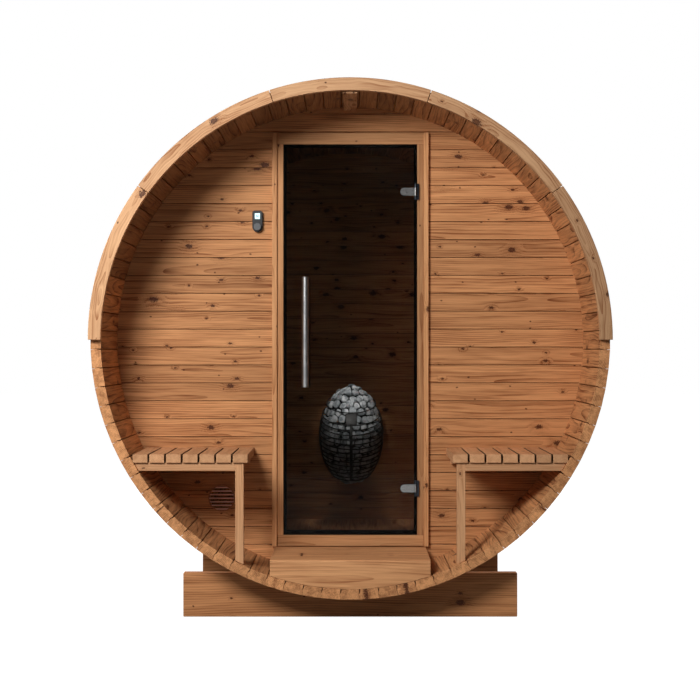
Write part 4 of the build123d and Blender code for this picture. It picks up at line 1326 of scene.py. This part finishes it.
def plate(width, height, corner, segments, thickness):
    """A thin flat plate with rounded corners."""
    bm = bmesh.new()
    bmesh.ops.create_grid(bm, x_segments=1, y_segments=1, size=0.5)
    bmesh.ops.scale(bm, vec=(width, height, 1.0), verts=bm.verts[:])
    soften(bm, bm.verts[:], corner, segments, "VERTICES")
    grow(bm, (0, 0, thickness))
    return bm


tie = plate(TIE_SIZE, TIE_SIZE, 0.004, 3, 0.0025)
ease(tie, 0.0005, sharp=50)
place = Matrix.Translation(HEATER + TIE_PLACE) @ Matrix.Rotation(TIE_LEAN, 4, "X")
bmesh.ops.transform(tie, matrix=place, verts=tie.verts[:])
join_boards("cage", cage + [tie], cage_black, ["heater_cage"], smooth=True)

# %% [markdown]
# ## The controller's display
# The small control pill has a lit display over its knob. It is a thin tile, so it gets the same
# rounded plate as the heater, and a surface that gives off a little light of its own.

# %% Display tile
DISPLAY_X, DISPLAY_Z = -0.401, 0.537
DISPLAY_WIDTH, DISPLAY_HEIGHT = 0.022, 0.025


def glow(name, colour, strength):
    """A surface that gives off a little light."""
    material, tree, shader = new_material(name)
    fine = add(tree, "ShaderNodeGroup", node_tree=marks_group).outputs
    light = mix_colours(tree, ramp(tree, fine["Smudge"], 0.3, 0.7), seen(*colour),
                        seen(*[c * 0.85 for c in colour]))
    feed(tree, shader, {"Base Color": seen(*colour), "Emission Strength": strength,
                        "Emission Color": light, "Roughness": fine["Roughness"]})
    return material


def on_the_case(piece, finish, rise):
    """Stands a flat piece upright on the face of the controller."""
    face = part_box("controller_case")[0].y
    place = Matrix.Translation((DISPLAY_X, face - rise, AXIS + DISPLAY_Z))
    piece.data.transform(place @ UPRIGHT)
    piece.data.materials.clear()
    piece.data.materials.append(finish)
    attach(piece, "sauna")


tile = as_object("display_tile", plate(DISPLAY_WIDTH, DISPLAY_HEIGHT, 0.003, 4, 0.0006))
on_the_case(tile, glow("display light", (196, 236, 240), 0.9), 0.0)
print("the tile has", len(tile.data.polygons), "faces")

# %% [markdown]
# ## Plain digits
# A display shows a temperature as plain numbers. A text object draws them well, but the finished
# piece has to be a mesh, so the text is turned into one before it is put in its place.

# %% Digits
DIGIT_SIZE, DIGIT_DEPTH = 0.0145, 0.0002

text = bpy.data.curves.new("digits", "FONT")
text.body, text.size, text.extrude = "80", DIGIT_SIZE, DIGIT_DEPTH
text.align_x = text.align_y = "CENTER"
writing = in_scene("digits", text)
bpy.context.view_layer.update()
digits = bpy.data.meshes.new_from_object(
    writing.evaluated_get(bpy.context.evaluated_depsgraph_get()))
bpy.data.objects.remove(writing)
dark = hard_finish("display digits", (24, 40, 44), (30, 48, 52), rough=(0.3, 0.4))
on_the_case(in_scene("display_digits", digits), dark, 0.0008)
print("display has", len(digits.polygons), "faces of digits")

# %% [markdown]
# ## A pale world
# The background is white because the world shows white to the camera, and to glass and metal,
# while it lights the wood at a much lower level. The rays themselves say which is which.

# %% World
WHITE = (1, 1, 1, 1)


def shown_rays(tree):
    """1 for a ray from the camera, a mirror or glass, and 0 for one that lights a matt surface."""
    rays = add(tree, "ShaderNodeLightPath").outputs
    return maths(tree, "MAXIMUM", rays["Is Camera Ray"],
                 maths(tree, "MAXIMUM", rays["Is Glossy Ray"], rays["Is Transmission Ray"]))


def pale_world(level):
    """White to look at, and a dim even light from all round."""
    world = bpy.data.worlds.new("studio")
    world.use_nodes = True
    bpy.context.scene.world = world
    tree = world.node_tree
    tree.nodes.clear()
    soft = add(tree, "ShaderNodeBackground", {"Color": WHITE, "Strength": level})
    white = add(tree, "ShaderNodeBackground", {"Color": WHITE, "Strength": 1.0})
    mix = add(tree, "ShaderNodeMixShader", {0: shown_rays(tree), 1: soft.outputs[0],
                                            2: white.outputs[0]})
    add(tree, "ShaderNodeOutputWorld", {"Surface": mix.outputs[0]})


pale_world(0.048)
print("world:", bpy.context.scene.world.name)

# %% [markdown]
# ## Lamps
# One large soft lamp lights the sauna from the upper left in front, and a weak one from the right
# fills its shadows. The fill would show in the glass, so mirrors don't see it. Two side lamps and
# a rear one light the barrel for the views from elsewhere. In the room, two small spots bring out
# the stones behind the dark glass, and a faint glow lights its boards.

# %% Soft lamps and spots
def lamp(name, kind, place, aim, watts, **settings):
    """A lamp that points at its aim."""
    data = bpy.data.lights.new(name, kind)
    data.energy = watts
    for key, value in settings.items():
        setattr(data, key, value)
    light = in_scene(name, data)
    light.location = place
    light.rotation_euler = (Vector(aim) - Vector(place)).to_track_quat("-Z", "Y").to_euler()
    return light


for name, place, aim, size, watts in (
        ("key", (-1.6, -4.1, 2.75), (0, -0.8, 1.0), 1.3, 140),
        ("fill", (0.8, -6.2, 3.0), (0, -0.8, 1.2), 1.6, 8),
        ("left side", (-4.6, 1.6, 3.2), (-0.6, 0.4, 1.1), 2.0, 190),
        ("right side", (4.6, 1.6, 3.2), (0.6, 0.4, 1.1), 2.0, 190),
        ("rear", (-0.8, 5.2, 2.6), (0, 1.0, 1.1), 2.0, 150),
        ("room glow", (0.0, -0.2, 1.5), (0, 0.9, 1.1), 0.5, 0.02)):
    soft_lamp = lamp(name, "AREA", place, aim, watts, shape="DISK", size=size)
    soft_lamp.visible_glossy = name != "fill"

for name, place, aim, cone, watts in (
        ("over the stones", (-0.06, 0.50, 1.95), (0.005, 0.66, 0.88), 22, 50),
        ("on the stones", (-0.03, -0.45, 1.14), (0.005, 0.685, 0.75), 18, 40)):
    lamp(name, "SPOT", place, aim, watts, spot_size=math.radians(cone), spot_blend=1.0,
         shadow_soft_size=0.06)
print("lamps:", len(bpy.data.lights))

# %% [markdown]
# ## A black card for the metal
# Round bars only look round when one side of them mirrors something dark. A photographer stands a
# black card beside the camera for that. Here it is a bent strip that only glossy rays can see.

# %% The card
CARD_PLAN = ((-0.8, -7.6), (4.6, -7.6), (4.6, 0.6))
CARD_FOOT, CARD_HEIGHT = -1.0, 7.0


def black_card():
    """A tall bent strip in front and on the right."""
    bm = bmesh.new()
    foot = [bm.verts.new((x, y, CARD_FOOT)) for x, y in CARD_PLAN]
    edges = [bm.edges.new((a, b)) for a, b in zip(foot, foot[1:])]
    grown = bmesh.ops.extrude_edge_only(bm, edges=edges)["geom"]
    moved = [item for item in grown if isinstance(item, bmesh.types.BMVert)]
    bmesh.ops.translate(bm, verts=moved, vec=(0, 0, CARD_HEIGHT))
    card = as_object("card", bm)
    material, tree, shader = new_material("black card")
    feed(tree, shader, {"Base Color": (0.01, 0.01, 0.01, 1)})
    card.data.materials.append(material)
    card.visible_camera = card.visible_diffuse = card.visible_transmission = False
    card.visible_shadow = card.visible_volume_scatter = False
    return card


card = black_card()
print("the card has", len(card.data.polygons), "leaves")

# %% [markdown]
# ## A pale floor
# The floor catches no more light than a grey card, but it shines white to whoever looks at it, so
# that it melts into the background and keeps only a soft shadow under the cradles.

# %% The floor
NEAR_SHINE, FAR_SHINE = 0.97, 1.0


def pale_floor():
    """A wide floor that fades into the white."""
    bm = bmesh.new()
    bmesh.ops.create_grid(bm, x_segments=1, y_segments=1, size=30.0)
    floor = as_object("floor", bm)
    material, tree, _ = new_material("pale floor")
    tree.nodes.clear()
    away = vectors(tree, "LENGTH", add(tree, "ShaderNodeTexCoord").outputs["Object"])
    strength = maths(tree, "MULTIPLY", shown_rays(tree),
                     ramp(tree, away, 4.0, 9.0, NEAR_SHINE, FAR_SHINE))
    matt = add(tree, "ShaderNodeBsdfDiffuse", {"Color": (0.2, 0.2, 0.2, 1)})
    shine = add(tree, "ShaderNodeEmission", {"Color": WHITE, "Strength": strength})
    both = add(tree, "ShaderNodeAddShader", {0: matt.outputs[0], 1: shine.outputs[0]})
    add(tree, "ShaderNodeOutputMaterial", {"Surface": both.outputs[0]})
    floor.data.materials.append(material)
    return floor


floor = pale_floor()
print("the floor is", round(floor.dimensions.x), "m wide")

# %% [markdown]
# The dressed model has to stay inside the box of the measured one.


print("the sauna is dressed")
